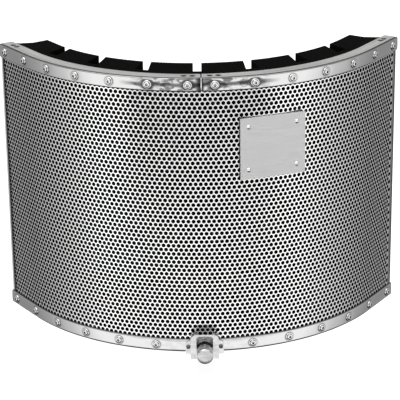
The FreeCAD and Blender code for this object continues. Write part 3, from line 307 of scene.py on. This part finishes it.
# Painted light and shade across each post: near-black painted shadow bands and bright painted reflection
# bands.
POSTS = {
    "end_post_right": post_material(
        "post_right", [(0, 0.45), (0.36, 0.35), (0.42, 0.02), (0.80, 0.02), (0.88, 1.0), (1.0, 1.0)]),
    "end_post_left": post_material(
        "post_left", [(0, 0.02), (0.40, 0.02), (0.50, 0.60), (0.70, 1.0), (1.0, 1.0)]),
}
PLATE = brushed_material("plated_plate", (0.42, 0.42, 0.42), (0.62, 0.62, 0.61), 0.34, (30, 900, 900))
# Button screws darken by their mesh's painted shade.
SCREW = polished_material("screw_steel", (0.80, 0.80, 0.80), 0.14, 0.00001, False, True)
# Near-black screw heads: painted shade, standing in for the shadow in the countersinks of the rail and corner
# screws and for the dark reflections on the saddle's ear screws.
PAINTED_SHADE_SCREW = polished_material("painted_shade_screw", (0.14, 0.14, 0.14), 0.30, 0.00001, False)
FOAM = foam_material("black_foam")
BADGE = brushed_material("badge_aluminium", (0.55, 0.55, 0.55), (0.60, 0.60, 0.60), 0.40, (40, 40, 1500))
# The saddle's top faces take painted shade.
SADDLE = cast_material("satin_cast", (0.74, 0.74, 0.74), (0.60, 0.60, 0.60), 0.28)
KNOB = polished_material("knurled_metal", (0.60, 0.60, 0.60), 0.24, 0.00004, False)
RUBBER = rubber_material("black_rubber")
MOUNT = brushed_material("mount_steel", (0.52, 0.52, 0.52), (0.74, 0.74, 0.74), 0.30, (700, 20, 700), False)
TURNED = brushed_material("turned_metal", (0.58, 0.58, 0.58), (0.82, 0.82, 0.82), 0.22, (60, 60, 2200), False)

FINISHES = {
    "perforated_steel": PERFORATED,
    "polished_strip": STRIP,
    "brushed_rail": RAIL,
    "plated_plate": PLATE,
    "screw_steel": SCREW,
    "black_foam": FOAM,
    "badge_aluminium": BADGE,
    "satin_cast": SADDLE,
    "knurled_metal": KNOB,
    "black_rubber": RUBBER,
    "mount_steel": MOUNT,
    "turned_metal": TURNED,
}
for subpart in frame["record"]["subparts"]:
    for slot in nodes[subpart["node"]].material_slots:
        slot.material = FINISHES[subpart["material_slot"]]
for name, material in POSTS.items():
    nodes[name].material_slots[0].material = material
# The countersunk and ear screws take the painted shade.
for name in ("rail_joint_screws", "corner_screws", "saddle_screws"):
    nodes[name].material_slots[0].material = PAINTED_SHADE_SCREW


# ---------------------------------------------------------------- mesh kit
SHARP_ANGLE = math.radians(40)


def mesh_object(name, vertices, faces, material, smooth=True):
    """Object from plain vertex and face lists, shaded smooth with its sharp edges kept."""
    mesh = bpy.data.meshes.new(name)
    mesh.from_pydata([tuple(v) for v in vertices], [], faces)
    mesh.validate()
    mesh.materials.append(material)
    thing = bpy.data.objects.new(name, mesh)
    bpy.context.scene.collection.objects.link(thing)
    if smooth:
        mesh.polygons.foreach_set("use_smooth", [True] * len(mesh.polygons))
        mesh.set_sharp_from_angle(angle=SHARP_ANGLE)
    return thing


def finish_piece(thing, body, slot, *replaced):
    """The piece rides on a body and stands for CAD nodes; slot is not used."""
    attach(thing, body)
    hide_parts(*replaced)


# ---------------------------------------------------------------- perforated sheet
HOLE_PITCH = 5.68 * MM
ROW_PITCH = 4.82 * MM
HOLE_RADIUS = 2.34 * MM
HOLE_SIDES = 12
TOP_ROW_LEVEL = 300.8 * MM
HOLE_SHIFT = 1.0 * MM
SHEET_END = ARC_LENGTH + END_STRAIGHT - POST_WIDTH
END_MARGIN = 0.05 * MM
# Width of the painted shadow line at each end of the sheet.
SHADOW_LINE = 1.7 * MM
SHEET_HEIGHT = HEAD - FOOT
NOTCH_HALF = 5 * MM
NOTCH_TOP = 17 * MM
FIRST_ROW, LAST_ROW = -1, 59


def sheet_front(wanted):
    """Vertices (along, level) and faces of the sheet's front, for the cells that a test picks."""
    half = HOLE_PITCH / 2
    points, index, faces = [], {}, []
    first_step, last_step = (
        int(side * (SHEET_END - END_MARGIN - side * HOLE_SHIFT) / half) for side in (-1, 1))

    def vertex(key, along, level):
        if key not in index:
            index[key] = len(points)
            points.append((along, level))
        return index[key]

    lines = [SHEET_HEIGHT] + [
        TOP_ROW_LEVEL + (0.5 - row) * ROW_PITCH for row in range(FIRST_ROW, LAST_ROW + 2)
    ] + [0.0]

    def corner(line, step):
        along = HOLE_SHIFT + step * half
        if not first_step <= step <= last_step:
            along = math.copysign(SHEET_END, step)
        return vertex((line, step), along, lines[line])

    def plain(line, step):
        middle = HOLE_SHIFT + (step + 0.5) * half
        if wanted(middle, (lines[line] + lines[line + 1]) / 2):
            faces.append([corner(line + 1, step), corner(line + 1, step + 1),
                          corner(line, step + 1), corner(line, step)])

    def holed(line, step):
        """Cell with a hole, whose middle is at this half step."""
        along, level = HOLE_SHIFT + step * half, (lines[line] + lines[line + 1]) / 2
        if not wanted(along, level):
            return
        rim = []
        for side in range(HOLE_SIDES):
            angle = 2 * math.pi * side / HOLE_SIDES
            x, z = along + HOLE_RADIUS * math.cos(angle), level + HOLE_RADIUS * math.sin(angle)
            rim.append(vertex((line, step, side), x, z))
        outer = [corner(line, step + 1), corner(line, step), corner(line, step - 1),
                 corner(line + 1, step - 1), corner(line + 1, step), corner(line + 1, step + 1)]
        for turn in range(6):
            first, last = 2 * turn + 1, 2 * turn + 3
            inner = [rim[side % HOLE_SIDES] for side in range(last, first - 1, -1)]
            faces.append([outer[turn], outer[(turn + 1) % 6], *inner])

    for line in range(len(lines) - 1):
        margin = line in (0, len(lines) - 2)
        shift = (line - 1 + FIRST_ROW) % 2
        step = first_step - 1
        while step <= last_step:
            centred = (step + 1 - shift) % 2 == 0
            if not margin and centred and first_step <= step and step + 2 <= last_step:
                holed(line, step + 1)
                step += 2
            else:
                plain(line, step)
                step += 1
    return points, faces


def perforated_panel(name, wanted):
    """One panel of the sheet with real holes: front, back and the walls between them."""
    points, front = sheet_front(wanted)
    outward = STRIP_THICKNESS
    vertices = [station(along, outward, level) for along, level in points]
    vertices += [station(along, outward + SHEET_THICKNESS, level) for along, level in points]
    count = len(points)
    sides = {}
    for face in front:
        for a, b in zip(face, face[1:] + face[:1]):
            if (b, a) in sides:
                del sides[(b, a)]
            else:
                sides[(a, b)] = True
    back = [[v + count for v in reversed(face)] for face in front]
    walls = [[b, a, a + count, b + count] for a, b in sides]
    panel = mesh_object(name, vertices, front + back + walls, PERFORATED)
    panel.data.materials.append(PAINTED_SHADE_EDGE)
    # Hole walls and a thin band at each end take the painted shade.
    for index, polygon in enumerate(panel.data.polygons):
        walled = index >= len(front) + len(back)
        if walled or abs(shield_coordinates(polygon.center)[0]) > SHEET_END - SHADOW_LINE:
            polygon.material_index = 1
    return panel


def in_notch(along, level):
    """Whether a cell lies in the notch that lets the knob's stem through."""
    return abs(along) < NOTCH_HALF + HOLE_PITCH / 4 and level < NOTCH_TOP


for word, side in (("right", 1), ("left", -1)):
    panel = perforated_panel(
        f"perforated_panel_{word}",
        lambda along, level, side=side: (along - HOLE_SHIFT / 2) * side > 0 and not in_notch(along, level),
    )
    finish_piece(panel, "shield", "perforated_steel", "perforated_sheet")


# ---------------------------------------------------------------- clamp strips
STRIP_ROUND = 1.4 * MM
STRIP_CROWN = 0.30 * MM
SEAM_ROLL = 0.55 * MM
SEAM_ROLL_LENGTH = 3.2 * MM
ROUND_STEPS = 6
STRIP_ROWS = 14
STRIP_STOPS = 290
SCREW_REACH = 12 * MM
DISH_DEPTH = 0.45 * MM
DISH_REACH = 5.6 * MM
# Painted shade on the strips: a painted shadow ring round each screw, painted shade at the seam and along the
# edges, and dark painted reflection patches near the middle.
RING_SHADE = 0.6
SHADOW_RING_RADIUS = 4.9 * MM
SHADOW_RING_SOFT = 0.9 * MM
REFLECTION_PATCH_REACH = 78 * MM
REFLECTION_PATCH_SCALE = (95, 190)
REFLECTION_PATCH_CONTRAST = 2.6
REFLECTION_PATCH_SHARE = 0.8
SEAM_SHADE = {-1: 6.0 * MM, 1: 2.6 * MM}
LOWER_SHADE_HEIGHT = 0.4 * MM
LOWER_SHADE_SOFT = 0.7 * MM
TOP_EDGE_SHADE = 0.95
TOP_SHADE_DEPTH = 0.6 * MM


def strip_section():
    """Closed outline (inward, level) of a strip: a slightly crowned face with rounded edges."""
    face = []
    for step in range(STRIP_ROWS + 1):
        height = STRIP_ROUND + (STRIP_HEIGHT - 2 * STRIP_ROUND) * step / STRIP_ROWS
        swell = 2 * height / STRIP_HEIGHT - 1
        face.append((STRIP_CROWN * swell**2, height))
    rounded = []
    for step in range(ROUND_STEPS):
        angle = math.pi / 2 * step / ROUND_STEPS
        inward = STRIP_CROWN + STRIP_ROUND * (1 - math.sin(angle))
        rounded.append((inward, STRIP_ROUND * (1 - math.cos(angle))))
    top = [(inward, STRIP_HEIGHT - height) for inward, height in reversed(rounded)]
    return [(STRIP_THICKNESS, 0.0), *rounded, *face, *top, (STRIP_THICKNESS, STRIP_HEIGHT)]


def screw_spots(node):
    """(along, level) of each screw in a CAD node of strip screws."""
    spots = {}
    for vertex in nodes[node].data.vertices:
        along, _, level = shield_coordinates(vertex.co)
        for key in spots:
            if abs(along - key) < SCREW_REACH:
                spots[key].append((along, level))
                break
        else:
            spots[along] = [(along, level)]
    middles = []
    for points in spots.values():
        low, high = np.min(points, axis=0), np.max(points, axis=0)
        middles.append(tuple((low + high) / 2))
    return middles


def clamp_strip(name, side, gap, low, spots, reflection_and_seam_shade, lower_edge_shade):
    """One half of a strip, swept from the seam to the frame's end and dished at its screws; its mesh carries
    painted shade: a painted shadow ring round each screw, painted shade at the seam and along its edges, and
    dark painted reflection patches near the middle.
    """
    section = strip_section()
    far = ARC_LENGTH + END_STRAIGHT
    stops = [gap + SEAM_ROLL_LENGTH * step / ROUND_STEPS for step in range(ROUND_STEPS)]
    stops += [gap + SEAM_ROLL_LENGTH + (far - gap - SEAM_ROLL_LENGTH) * step / STRIP_STOPS
              for step in range(STRIP_STOPS + 1)]
    vertices, faces, painted_shades = [], [], []
    for stop in stops:
        roll = SEAM_ROLL * max(0.0, 1 - (stop - gap) / SEAM_ROLL_LENGTH) ** 2
        for inward, height in section:
            dish = ring = 0.0
            for along, level in spots:
                away = math.hypot(side * stop - along, low + height - level)
                dish += DISH_DEPTH * math.exp(-(away / DISH_REACH)**2)
                # Painted shadow ring round the screw head.
                ring = max(ring, RING_SHADE * math.exp(-((away - SHADOW_RING_RADIUS) / SHADOW_RING_SOFT)**2))
            depth = min(inward + roll + dish, STRIP_THICKNESS)
            vertices.append(station(side * stop, depth, low + height))
            # Painted reflection: noisy dark patches that fade away from the middle.
            reflection_noise_place = Vector((side * stop * REFLECTION_PATCH_SCALE[0], (low + height) * REFLECTION_PATCH_SCALE[1], 3.0))
            reflection_noise = noise.fractal(reflection_noise_place, 0.8, 2.0, 4)
            reflection_patch = min(max(0.5 + REFLECTION_PATCH_CONTRAST * reflection_noise, 0), 1) * max(0.0, 1 - (stop / REFLECTION_PATCH_REACH) ** 4)
            # Painted shade beside the seam.
            seam = math.exp(-((stop - gap) / SEAM_SHADE[side]) ** 4)
            # Painted shade: a dark line along the lower edge and over the rounded top edge.
            edge = lower_edge_shade * math.exp(-((height - LOWER_SHADE_HEIGHT) / LOWER_SHADE_SOFT) ** 2)
            if height > STRIP_HEIGHT - STRIP_ROUND and inward > TOP_SHADE_DEPTH:
                edge = TOP_EDGE_SHADE
            painted_shades.append(max(reflection_and_seam_shade * max(reflection_patch * REFLECTION_PATCH_SHARE, seam), edge, ring))
    count = len(section)
    for rank in range(len(stops) - 1):
        for point in range(count):
            after = (point + 1) % count
            quad = [rank * count + point, rank * count + after,
                    (rank + 1) * count + after, (rank + 1) * count + point]
            faces.append(quad if side < 0 else quad[::-1])
    start, end = list(range(count)), list(range((len(stops) - 1) * count, len(stops) * count))
    faces += [start[::-1], end] if side < 0 else [start, end[::-1]]
    strip = mesh_object(name, vertices, faces, STRIP)
    strip.data.attributes.new("painted_shade", "FLOAT", "POINT").data.foreach_set("value", painted_shades)
    return strip


# ---------------------------------------------------------------- button-head screws
SOCKET_HALF = 1.25
HEAD_SIDES = 24
# Head rows: radius and height in mm, and painted shade standing in for dark reflections at the flange step
# and in the socket.
BUTTON_HEAD = (
    (0.02, -7.5, 0.0), (1.9, -7.5, 0.0), (1.9, -0.4, 0.5), (4.7, -0.4, 0.9), (4.7, 0.2, 0.2),
    (4.6, 0.6, 0.0), (4.35, 0.79, 0.0), (3.75, 0.8, 0.0), (3.58, 0.76, 0.9), (3.5, 0.95, 1.0),
    (3.5, 1.25, 0.9), (3.38, 1.65, 0.6), (3.05, 2.0, 0.1), (2.5, 2.22, 0.0), (2.0, 2.3, 0.0),
    (1.6, 2.3, 0.1), (SOCKET_HALF, 2.15, 0.9), (SOCKET_HALF, 1.0, 1.0), (0.02, 0.9, 0.3),
)


def button_screws(name, spots):
    """Flanged button-head screws; a head's rows are radius and height in mm, and painted shade (dark rings
    painted on the head).
    """
    vertices, faces, shades = [], [], []
    rows = len(BUTTON_HEAD)
    for rank, (along, level) in enumerate(spots):
        seat = station(along, 0, level)
        outward = (station(along, -MM, level) - seat).normalized()
        across = UP.cross(outward)
        first = len(vertices)
        for radius, height, shade in BUTTON_HEAD:
            for side in range(HEAD_SIDES):
                angle = 2 * math.pi * side / HEAD_SIDES
                reach = radius
                if radius == SOCKET_HALF:
                    reach /= math.cos((angle + math.pi / 6) % (math.pi / 3) - math.pi / 6)
                turned = angle + rank
                place = across * math.cos(turned) + UP * math.sin(turned)
                vertices.append(seat + (place * reach + outward * height) * MM)
                shades.append(shade)
        for row in range(rows):
            low, high = first + row * HEAD_SIDES, first + (row + 1) % rows * HEAD_SIDES
            for side in range(HEAD_SIDES):
                after = (side + 1) % HEAD_SIDES
                faces.append([low + after, low + side, high + side, high + after])
    screws = mesh_object(name, vertices, faces, SCREW)
    screws.data.attributes.new("painted_shade", "FLOAT", "POINT").data.foreach_set("value", shades)
    return screws


# ---------------------------------------------------------------- strips and their screws, row by row
# Per row: name, low level, strength of the painted reflection patches and seam shade, strength of the painted
# shade along the lower edge.
STRIP_LOOKS = (
    ("upper", HEAD - FOOT - STRIP_HEIGHT, 1.0, 0.85),
    ("foot", 0.0, 0.12, 0.0),
)
for row, low, reflection_and_seam_shade, lower_edge_shade in STRIP_LOOKS:
    node = f"{row}_strip_screws"
    spots = screw_spots(node)
    finish_piece(button_screws(node + "_headed", spots), "shield", "screw_steel", node)
    for word, side in (("right", 1), ("left", -1)):
        node = f"{row}_strip_{word}"
        nearest = min(abs(vertex.co.x) for vertex in nodes[node].data.vertices)
        strip = clamp_strip(node + "_formed", side, nearest, low, spots, reflection_and_seam_shade, lower_edge_shade)
        finish_piece(strip, "shield", "polished_strip", node)


# ---------------------------------------------------------------- foam
FOAM_EDGE = 1.3 * MM


def cut_foam(name, source):
    """Copy of a CAD foam node with its cut edges slightly rounded."""
    thing = bpy.data.objects.new(name, nodes[source].data.copy())
    bpy.context.scene.collection.objects.link(thing)
    thing.data.materials.clear()
    thing.data.materials.append(FOAM)
    shape = bmesh.new()
    shape.from_mesh(thing.data)
    bmesh.ops.remove_doubles(shape, verts=shape.verts, dist=0.02 * MM)
    bmesh.ops.dissolve_limit(shape, angle_limit=math.radians(0.8), verts=shape.verts, edges=shape.edges)
    rims = [edge for edge in shape.edges
            if len(edge.link_faces) == 2 and edge.calc_face_angle() > math.radians(40)]
    bmesh.ops.bevel(shape, geom=rims, offset=FOAM_EDGE, segments=3, profile=0.5, affect="EDGES",
                    clamp_overlap=True)
    bmesh.ops.triangulate(shape, faces=[face for face in shape.faces if len(face.verts) > 4])
    shape.to_mesh(thing.data)
    shape.free()
    thing.data.polygons.foreach_set("use_smooth", [True] * len(thing.data.polygons))
    thing.data.set_sharp_from_angle(angle=math.radians(35))
    return thing


for node, fill in (("foam_liner", 0.95), ("foam_backing", 1.0)):
    foam = cut_foam(node + "_cut", node)
    finish_piece(foam, "shield", "black_foam", node)


# ---------------------------------------------------------------- turned pieces
def lathe(name, profile, material, segments=96, axis=UP, base=Vector(), knurl=None):
    """Closed solid turned from (radius, height) points; knurl(height, angle) adds to a radius."""
    across = axis.orthogonal().normalized()
    other = axis.cross(across)
    vertices, faces = [], []
    for radius, height in profile:
        for step in range(segments):
            angle = 2 * math.pi * step / segments
            reach = radius + (knurl(height, angle) if knurl else 0)
            spoke = across * math.cos(angle) + other * math.sin(angle)
            vertices.append(base + axis * height + spoke * reach)
    rings = len(profile)
    for ring in range(rings):
        low, high = ring * segments, (ring + 1) % rings * segments
        for step in range(segments):
            after = (step + 1) % segments
            faces.append([low + step, low + after, high + after, high + step])
    return mesh_object(name, vertices, faces, material)


def band(low, high, count):
    """Evenly spaced heights from low to high."""
    return [low + (high - low) * step / count for step in range(count + 1)]


def knurled_profile(inner, outer, low, high, chamfer, rows):
    """Ring with chamfered rims whose outer wall has rows enough for a knurl."""
    wall = [(outer, height) for height in band(low + chamfer, high - chamfer, rows)]
    return [(inner, low), (outer - chamfer, low), *wall, (outer - chamfer, high), (inner, high)]


def diamond_knurl(count, depth, low, high, pitch):
    """Crossed grooves between two heights."""
    def cut(height, angle):
        if not low <= height <= high:
            return 0
        lean = 2 * math.pi * height / pitch
        crossed = abs(math.sin((count * angle + lean) / 2)) * abs(math.sin((count * angle - lean) / 2))
        return -depth * (1 - crossed)
    return cut


knob_low, knob_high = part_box("clamp_knob")
KNOB_RADIUS = (knob_high.x - knob_low.x) / 2
KNOB_LENGTH = knob_high.y - knob_low.y
RING_BACK, RING_FRONT = (knob_high.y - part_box("knob_grip_ring")[i].y for i in (1, 0))
NECK_RADIUS = 6.5 * MM
STEM_RADIUS = 4 * MM
OUTWARD = Vector((0, -1, 0))
knob_base = Vector((0, knob_high.y, (knob_low.z + knob_high.z) / 2))
head_rows = band(RING_FRONT + 1.2 * MM, KNOB_LENGTH - 1.6 * MM, 22)
knob_profile = [
    (STEM_RADIUS, 0), (KNOB_RADIUS - 0.6 * MM, 0), (KNOB_RADIUS, 0.6 * MM),
    (KNOB_RADIUS, RING_BACK - 0.3 * MM), (KNOB_RADIUS - 0.3 * MM, RING_BACK),
    (NECK_RADIUS, RING_BACK), (NECK_RADIUS, RING_FRONT),
    (KNOB_RADIUS - 0.3 * MM, RING_FRONT), (KNOB_RADIUS, RING_FRONT + 0.3 * MM),
    *[(KNOB_RADIUS, height) for height in head_rows],
    (KNOB_RADIUS - 0.1 * MM, KNOB_LENGTH - 1.0 * MM), (KNOB_RADIUS - 0.9 * MM, KNOB_LENGTH - 0.1 * MM),
    (KNOB_RADIUS - 1.2 * MM, KNOB_LENGTH), (STEM_RADIUS, KNOB_LENGTH), (0.02 * MM, KNOB_LENGTH),
    (0.02 * MM, KNOB_LENGTH - 1 * MM), (STEM_RADIUS, KNOB_LENGTH - 13 * MM),
]
knob = lathe("clamp_knob_turned", knob_profile, KNOB, 192, OUTWARD, knob_base,
             diamond_knurl(48, 0.4 * MM, head_rows[0], head_rows[-1], 2.4 * MM))
finish_piece(knob, "knob", "knurled_metal", "clamp_knob")

RUBBER_CORNER = 0.7 * MM
ring_length = RING_FRONT - RING_BACK
ribs = [(KNOB_RADIUS - 0.15 * MM * (1 - math.cos(math.pi * step)) / 2, RUBBER_CORNER + height)
        for step, height in enumerate(band(0, ring_length - 2 * RUBBER_CORNER, 8))]
grip = lathe("knob_grip_ribbed", [
    (NECK_RADIUS, 0), (KNOB_RADIUS - RUBBER_CORNER, 0), *ribs,
    (KNOB_RADIUS - RUBBER_CORNER, ring_length), (NECK_RADIUS, ring_length),
], RUBBER, 96, OUTWARD, knob_base + OUTWARD * RING_BACK)
finish_piece(grip, "knob", "black_rubber", "knob_grip_ring")


def thread(low, high, pitch, depth):
    """Helical groove between two heights."""
    def cut(height, angle):
        if not low <= height <= high:
            return 0
        phase = (height / pitch - angle / (2 * math.pi)) % 1
        return -depth * abs(2 * phase - 1)
    return cut


STAND_PITCH = 25.4 / 27 * MM
STAND_DEPTH = 0.5 * MM
COARSE_PITCH = 1.25 * MM
COARSE_DEPTH = 0.55 * MM


def node_round(node):
    """Foot level, outer radius and height of a round upright CAD node."""
    low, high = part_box(node)
    return low.z, (high.x - low.x) / 2, high.z - low.z


stem_low, stem_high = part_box("clamp_stem")
stem_length = stem_high.y - stem_low.y
stem_rows = [(STEM_RADIUS, height) for height in band(0.6 * MM, stem_length - 0.6 * MM, 270)]
stem_base = Vector((0, stem_high.y, (stem_low.z + stem_high.z) / 2))
stem = lathe("clamp_stem_threaded", [
    (0.05 * MM, 0), (STEM_RADIUS - 0.6 * MM, 0), *stem_rows,
    (STEM_RADIUS - 0.6 * MM, stem_length), (0.05 * MM, stem_length),
], SCREW, 48, OUTWARD, stem_base, thread(stem_rows[0][1], stem_rows[-1][1], COARSE_PITCH, COARSE_DEPTH))
finish_piece(stem, "knob", "screw_steel", "clamp_stem")

STUD_RADIUS = 5 * MM
RELIEF_RADIUS = 7.2 * MM
THREAD_RADIUS = 7.94 * MM
RUNNING_GAP = 0.06 * MM

nut_low, nut_radius, nut_height = node_round("lock_nut")
nut_profile = knurled_profile(STUD_RADIUS + RUNNING_GAP, nut_radius, 0, nut_height, 1.0 * MM, 20)
nut = lathe("lock_nut_knurled", nut_profile, KNOB, 240, UP, Vector((0, 0, nut_low)),
            diamond_knurl(72, 0.45 * MM, 1.0 * MM, nut_height - 1.0 * MM, 2.4 * MM))
finish_piece(nut, "nut", "knurled_metal", "lock_nut")

ring_low, ring_radius, ring_height = node_round("mic_lock_ring")
ring_profile = knurled_profile(RELIEF_RADIUS + RUNNING_GAP, ring_radius, 0, ring_height, 0.6 * MM, 12)
lock_ring = lathe("mic_lock_ring_knurled", ring_profile, KNOB, 216, UP, Vector((0, 0, ring_low)),
                  diamond_knurl(64, 0.4 * MM, 0.6 * MM, ring_height - 0.6 * MM, 2.2 * MM))
finish_piece(lock_ring, "mic_ring", "knurled_metal", "mic_lock_ring")

post_low, post_flange, post_height = node_round("mic_post")
FLANGE_HEIGHT = 4 * MM
RELIEF_HEIGHT = 5.3 * MM
thread_start = FLANGE_HEIGHT + RELIEF_HEIGHT
thread_rows = [(THREAD_RADIUS, height) for height in band(thread_start, post_height - 0.8 * MM, 130)]
mic_post = lathe("mic_post_threaded", [
    (STUD_RADIUS, 0), (post_flange - 0.8 * MM, 0), (post_flange, 0.8 * MM),
    (post_flange, FLANGE_HEIGHT - 0.5 * MM), (post_flange - 0.5 * MM, FLANGE_HEIGHT),
    (RELIEF_RADIUS, FLANGE_HEIGHT), (RELIEF_RADIUS, thread_start), *thread_rows,
    (THREAD_RADIUS - 0.9 * MM, post_height), (3.4 * MM, post_height), (3.0 * MM, post_height - 0.5 * MM),
    (0.05 * MM, post_height - 2.2 * MM), (0.05 * MM, FLANGE_HEIGHT), (STUD_RADIUS, FLANGE_HEIGHT),
], TURNED, 96, UP, Vector((0, 0, post_low)),
    thread(thread_rows[1][1], thread_rows[-1][1], STAND_PITCH, STAND_DEPTH))
finish_piece(mic_post, "stand_mount", "turned_metal", "mic_post")

ADAPTER_HEIGHT = 22 * MM
THREAD_DEPTH = 16 * MM
adapter_low, adapter_radius, stud_top = node_round("stand_adapter")
grip_rows = [(adapter_radius, height) for height in band(5 * MM, 17 * MM, 24)]
grip_cut = diamond_knurl(60, 0.45 * MM, 5 * MM, 17 * MM, 2.4 * MM)
adapter_outline = [
    (THREAD_RADIUS + 0.6 * MM, 0), (adapter_radius - 1 * MM, 0), (adapter_radius, 1 * MM),
    (adapter_radius, 4.6 * MM), (adapter_radius - 0.5 * MM, 4.8 * MM), *grip_rows,
    (adapter_radius - 0.5 * MM, 17.2 * MM), (adapter_radius, 17.4 * MM),
    (adapter_radius, ADAPTER_HEIGHT - 1 * MM), (adapter_radius - 1 * MM, ADAPTER_HEIGHT),
    (STUD_RADIUS, ADAPTER_HEIGHT), (STUD_RADIUS, stud_top), (0.05 * MM, stud_top),
    (0.05 * MM, THREAD_DEPTH), (THREAD_RADIUS, THREAD_DEPTH),
]
adapter = lathe("stand_adapter_turned", adapter_outline, TURNED, 192, UP, Vector((0, 0, adapter_low)),
                grip_cut)
finish_piece(adapter, "stand_mount", "turned_metal", "stand_adapter")

# ---------------------------------------------------------------- eased edges of the plain CAD parts
EASED = {
    0.5 * MM: ("saddle_block", "mount_arm", "slide_block"),
    0.3 * MM: ("clamp_washer", "end_post_right", "end_post_left", "foot_bridge_plate", "upper_joint_plate",
               "upper_corner_bracket_right", "upper_corner_bracket_left",
               "foot_corner_bracket_right", "foot_corner_bracket_left"),
}
for width, names in EASED.items():
    for name in names:
        weld = nodes[name].modifiers.new("weld", "WELD")
        weld.merge_threshold = 0.01 * MM
        bevel = nodes[name].modifiers.new("bevel", "BEVEL")
        bevel.width = width
        bevel.segments = 2
        bevel.limit_method = "ANGLE"
        bevel.angle_limit = math.radians(35)

# ---------------------------------------------------------------- floor, light and camera
PALE, _, pale_shader = new_material("pale_floor", (0.35, 0.35, 0.35), 0.0, 0.9)
pale_shader.inputs["Emission Color"].default_value = (1, 1, 1, 1)
pale_shader.inputs["Emission Strength"].default_value = 0.88
pale_shader.inputs["Specular IOR Level"].default_value = 0.0

FLOOR_HALF = 14.0
floor_corners = [(x * FLOOR_HALF, y * FLOOR_HALF, 0) for x, y in ((-1, -1), (1, -1), (1, 1), (-1, 1))]
floor = mesh_object("floor", floor_corners, [[0, 1, 2, 3]], PALE, False)
floor.location.z = cad_low.z - 0.5 * MM
floor.visible_glossy = False


def area_light(name, place, aim, size, power):
    """Square soft light that points at a place."""
    data = bpy.data.lights.new(name, "AREA")
    data.size = size
    data.energy = power
    light = bpy.data.objects.new(name, data)
    light.location = place
    light.rotation_mode = "QUATERNION"
    light.rotation_quaternion = (Vector(aim) - Vector(place)).to_track_quat("-Z", "Y")
    bpy.context.scene.collection.objects.link(light)


area_light("overhead", (-0.6, -0.4, 3.0), (0, 0, 0), 3.0, 60)


ROOM_STOPS = ((0.0, 1.38), (0.34, 1.32), (0.47, 0.80), (0.56, 0.52), (0.66, 0.36), (0.80, 0.50), (1.0, 0.62))
SKY_LEVEL = 1.45
DARKENING = 0.8


def studio_world():
    """White room, brightest in front and overhead, with dark bands; the camera itself sees at least white."""
    world = bpy.data.worlds.new("studio")
    world.use_nodes = True
    tree = world.node_tree
    background = tree.nodes["Background"]
    split = tree.nodes.new("ShaderNodeSeparateXYZ")
    tree.links.new(tree.nodes.new("ShaderNodeTexCoord").outputs["Generated"], split.inputs[0])
    x, y, z = split.outputs
    flat = math_node(tree, "SQRT", math_node(
        tree, "ADD", math_node(tree, "POWER", x, 2), math_node(tree, "POWER", y, 2)))
    ahead = math_node(tree, "DIVIDE", y, math_node(tree, "MAXIMUM", flat, 0.001))
    angle = math_node(tree, "ARCCOSINE", math_node(tree, "MULTIPLY", ahead, -1))
    turn = math_node(tree, "DIVIDE", angle, math.pi)
    round_room = tree.nodes.new("ShaderNodeValToRGB")
    tree.links.new(turn, round_room.inputs[0])
    for position, _ in ROOM_STOPS[1:-1]:
        round_room.color_ramp.elements.new(position)
    for element, (position, level) in zip(round_room.color_ramp.elements, ROOM_STOPS):
        element.position = position
        element.color = (level, level, level, 1)
    shade = math_node(tree, "MULTIPLY", round_room.outputs[0], ramp_socket(tree, z, 0.06, 1.0, -0.60, -0.50))
    band = math_node(tree, "MULTIPLY", ramp_socket(tree, z, 0.0, 1.0, -0.33, -0.30),
                     ramp_socket(tree, z, 1.0, 0.0, -0.25, -0.22))
    band = math_node(tree, "MULTIPLY", band, ramp_socket(tree, turn, 1.0, 0.0, 0.20, 0.26))
    shade = math_node(tree, "MULTIPLY", shade, math_node(tree, "SUBTRACT", 1.0, math_node(
        tree, "MULTIPLY", band, DARKENING)))
    eaves = math_node(tree, "MULTIPLY", ramp_socket(tree, z, 0.0, 1.0, 0.12, 0.20),
                      ramp_socket(tree, turn, 1.0, 0.0, 0.45, 0.60))
    shade = math_node(tree, "MULTIPLY", shade, math_node(tree, "SUBTRACT", 1.0, math_node(
        tree, "MULTIPLY", eaves, DARKENING)))
    above = ramp_socket(tree, z, 0.0, 1.0, 0.45, 0.60)
    sky = math_node(tree, "MULTIPLY", above, SKY_LEVEL)
    rest = math_node(tree, "MULTIPLY", shade, math_node(tree, "SUBTRACT", 1.0, above))
    background.inputs["Color"].default_value = (1, 1, 1, 1)
    seen = tree.nodes.new("ShaderNodeLightPath").outputs["Is Camera Ray"]
    strength = math_node(tree, "MAXIMUM", math_node(tree, "ADD", sky, rest), seen)
    tree.links.new(strength, background.inputs["Strength"])
    bpy.context.scene.world = world


studio_world()
bpy.context.scene.view_settings.view_transform = "Standard"

AZIMUTH, ELEVATION, ROLL = (math.radians(angle) for angle in (-0.745, 20.3, -0.785))
DISTANCE = 2.04
TARGET = Vector((-2.17 * MM, -45 * MM, 201 * MM))
SENSOR = 36.0
LENS = 163.26


def make_camera():
    """Long lens a little above the shield, with its slight roll."""
    data = bpy.data.cameras.new("camera")
    data.sensor_width = SENSOR
    data.lens = LENS
    camera = bpy.data.objects.new("camera", data)
    flat = math.cos(ELEVATION)
    back = Vector((math.sin(AZIMUTH) * flat, -math.cos(AZIMUTH) * flat, math.sin(ELEVATION)))
    level = Vector((math.cos(AZIMUTH), math.sin(AZIMUTH), 0))
    over = back.cross(level)
    right = level * math.cos(ROLL) + over * math.sin(ROLL)
    up = over * math.cos(ROLL) - level * math.sin(ROLL)
    place = TARGET + back * DISTANCE
    camera.matrix_world = Matrix((
        (right.x, up.x, back.x, place.x),
        (right.y, up.y, back.y, place.y),
        (right.z, up.z, back.z, place.z),
        (0, 0, 0, 1),
    ))
    bpy.context.scene.collection.objects.link(camera)
    bpy.context.scene.camera = camera


make_camera()
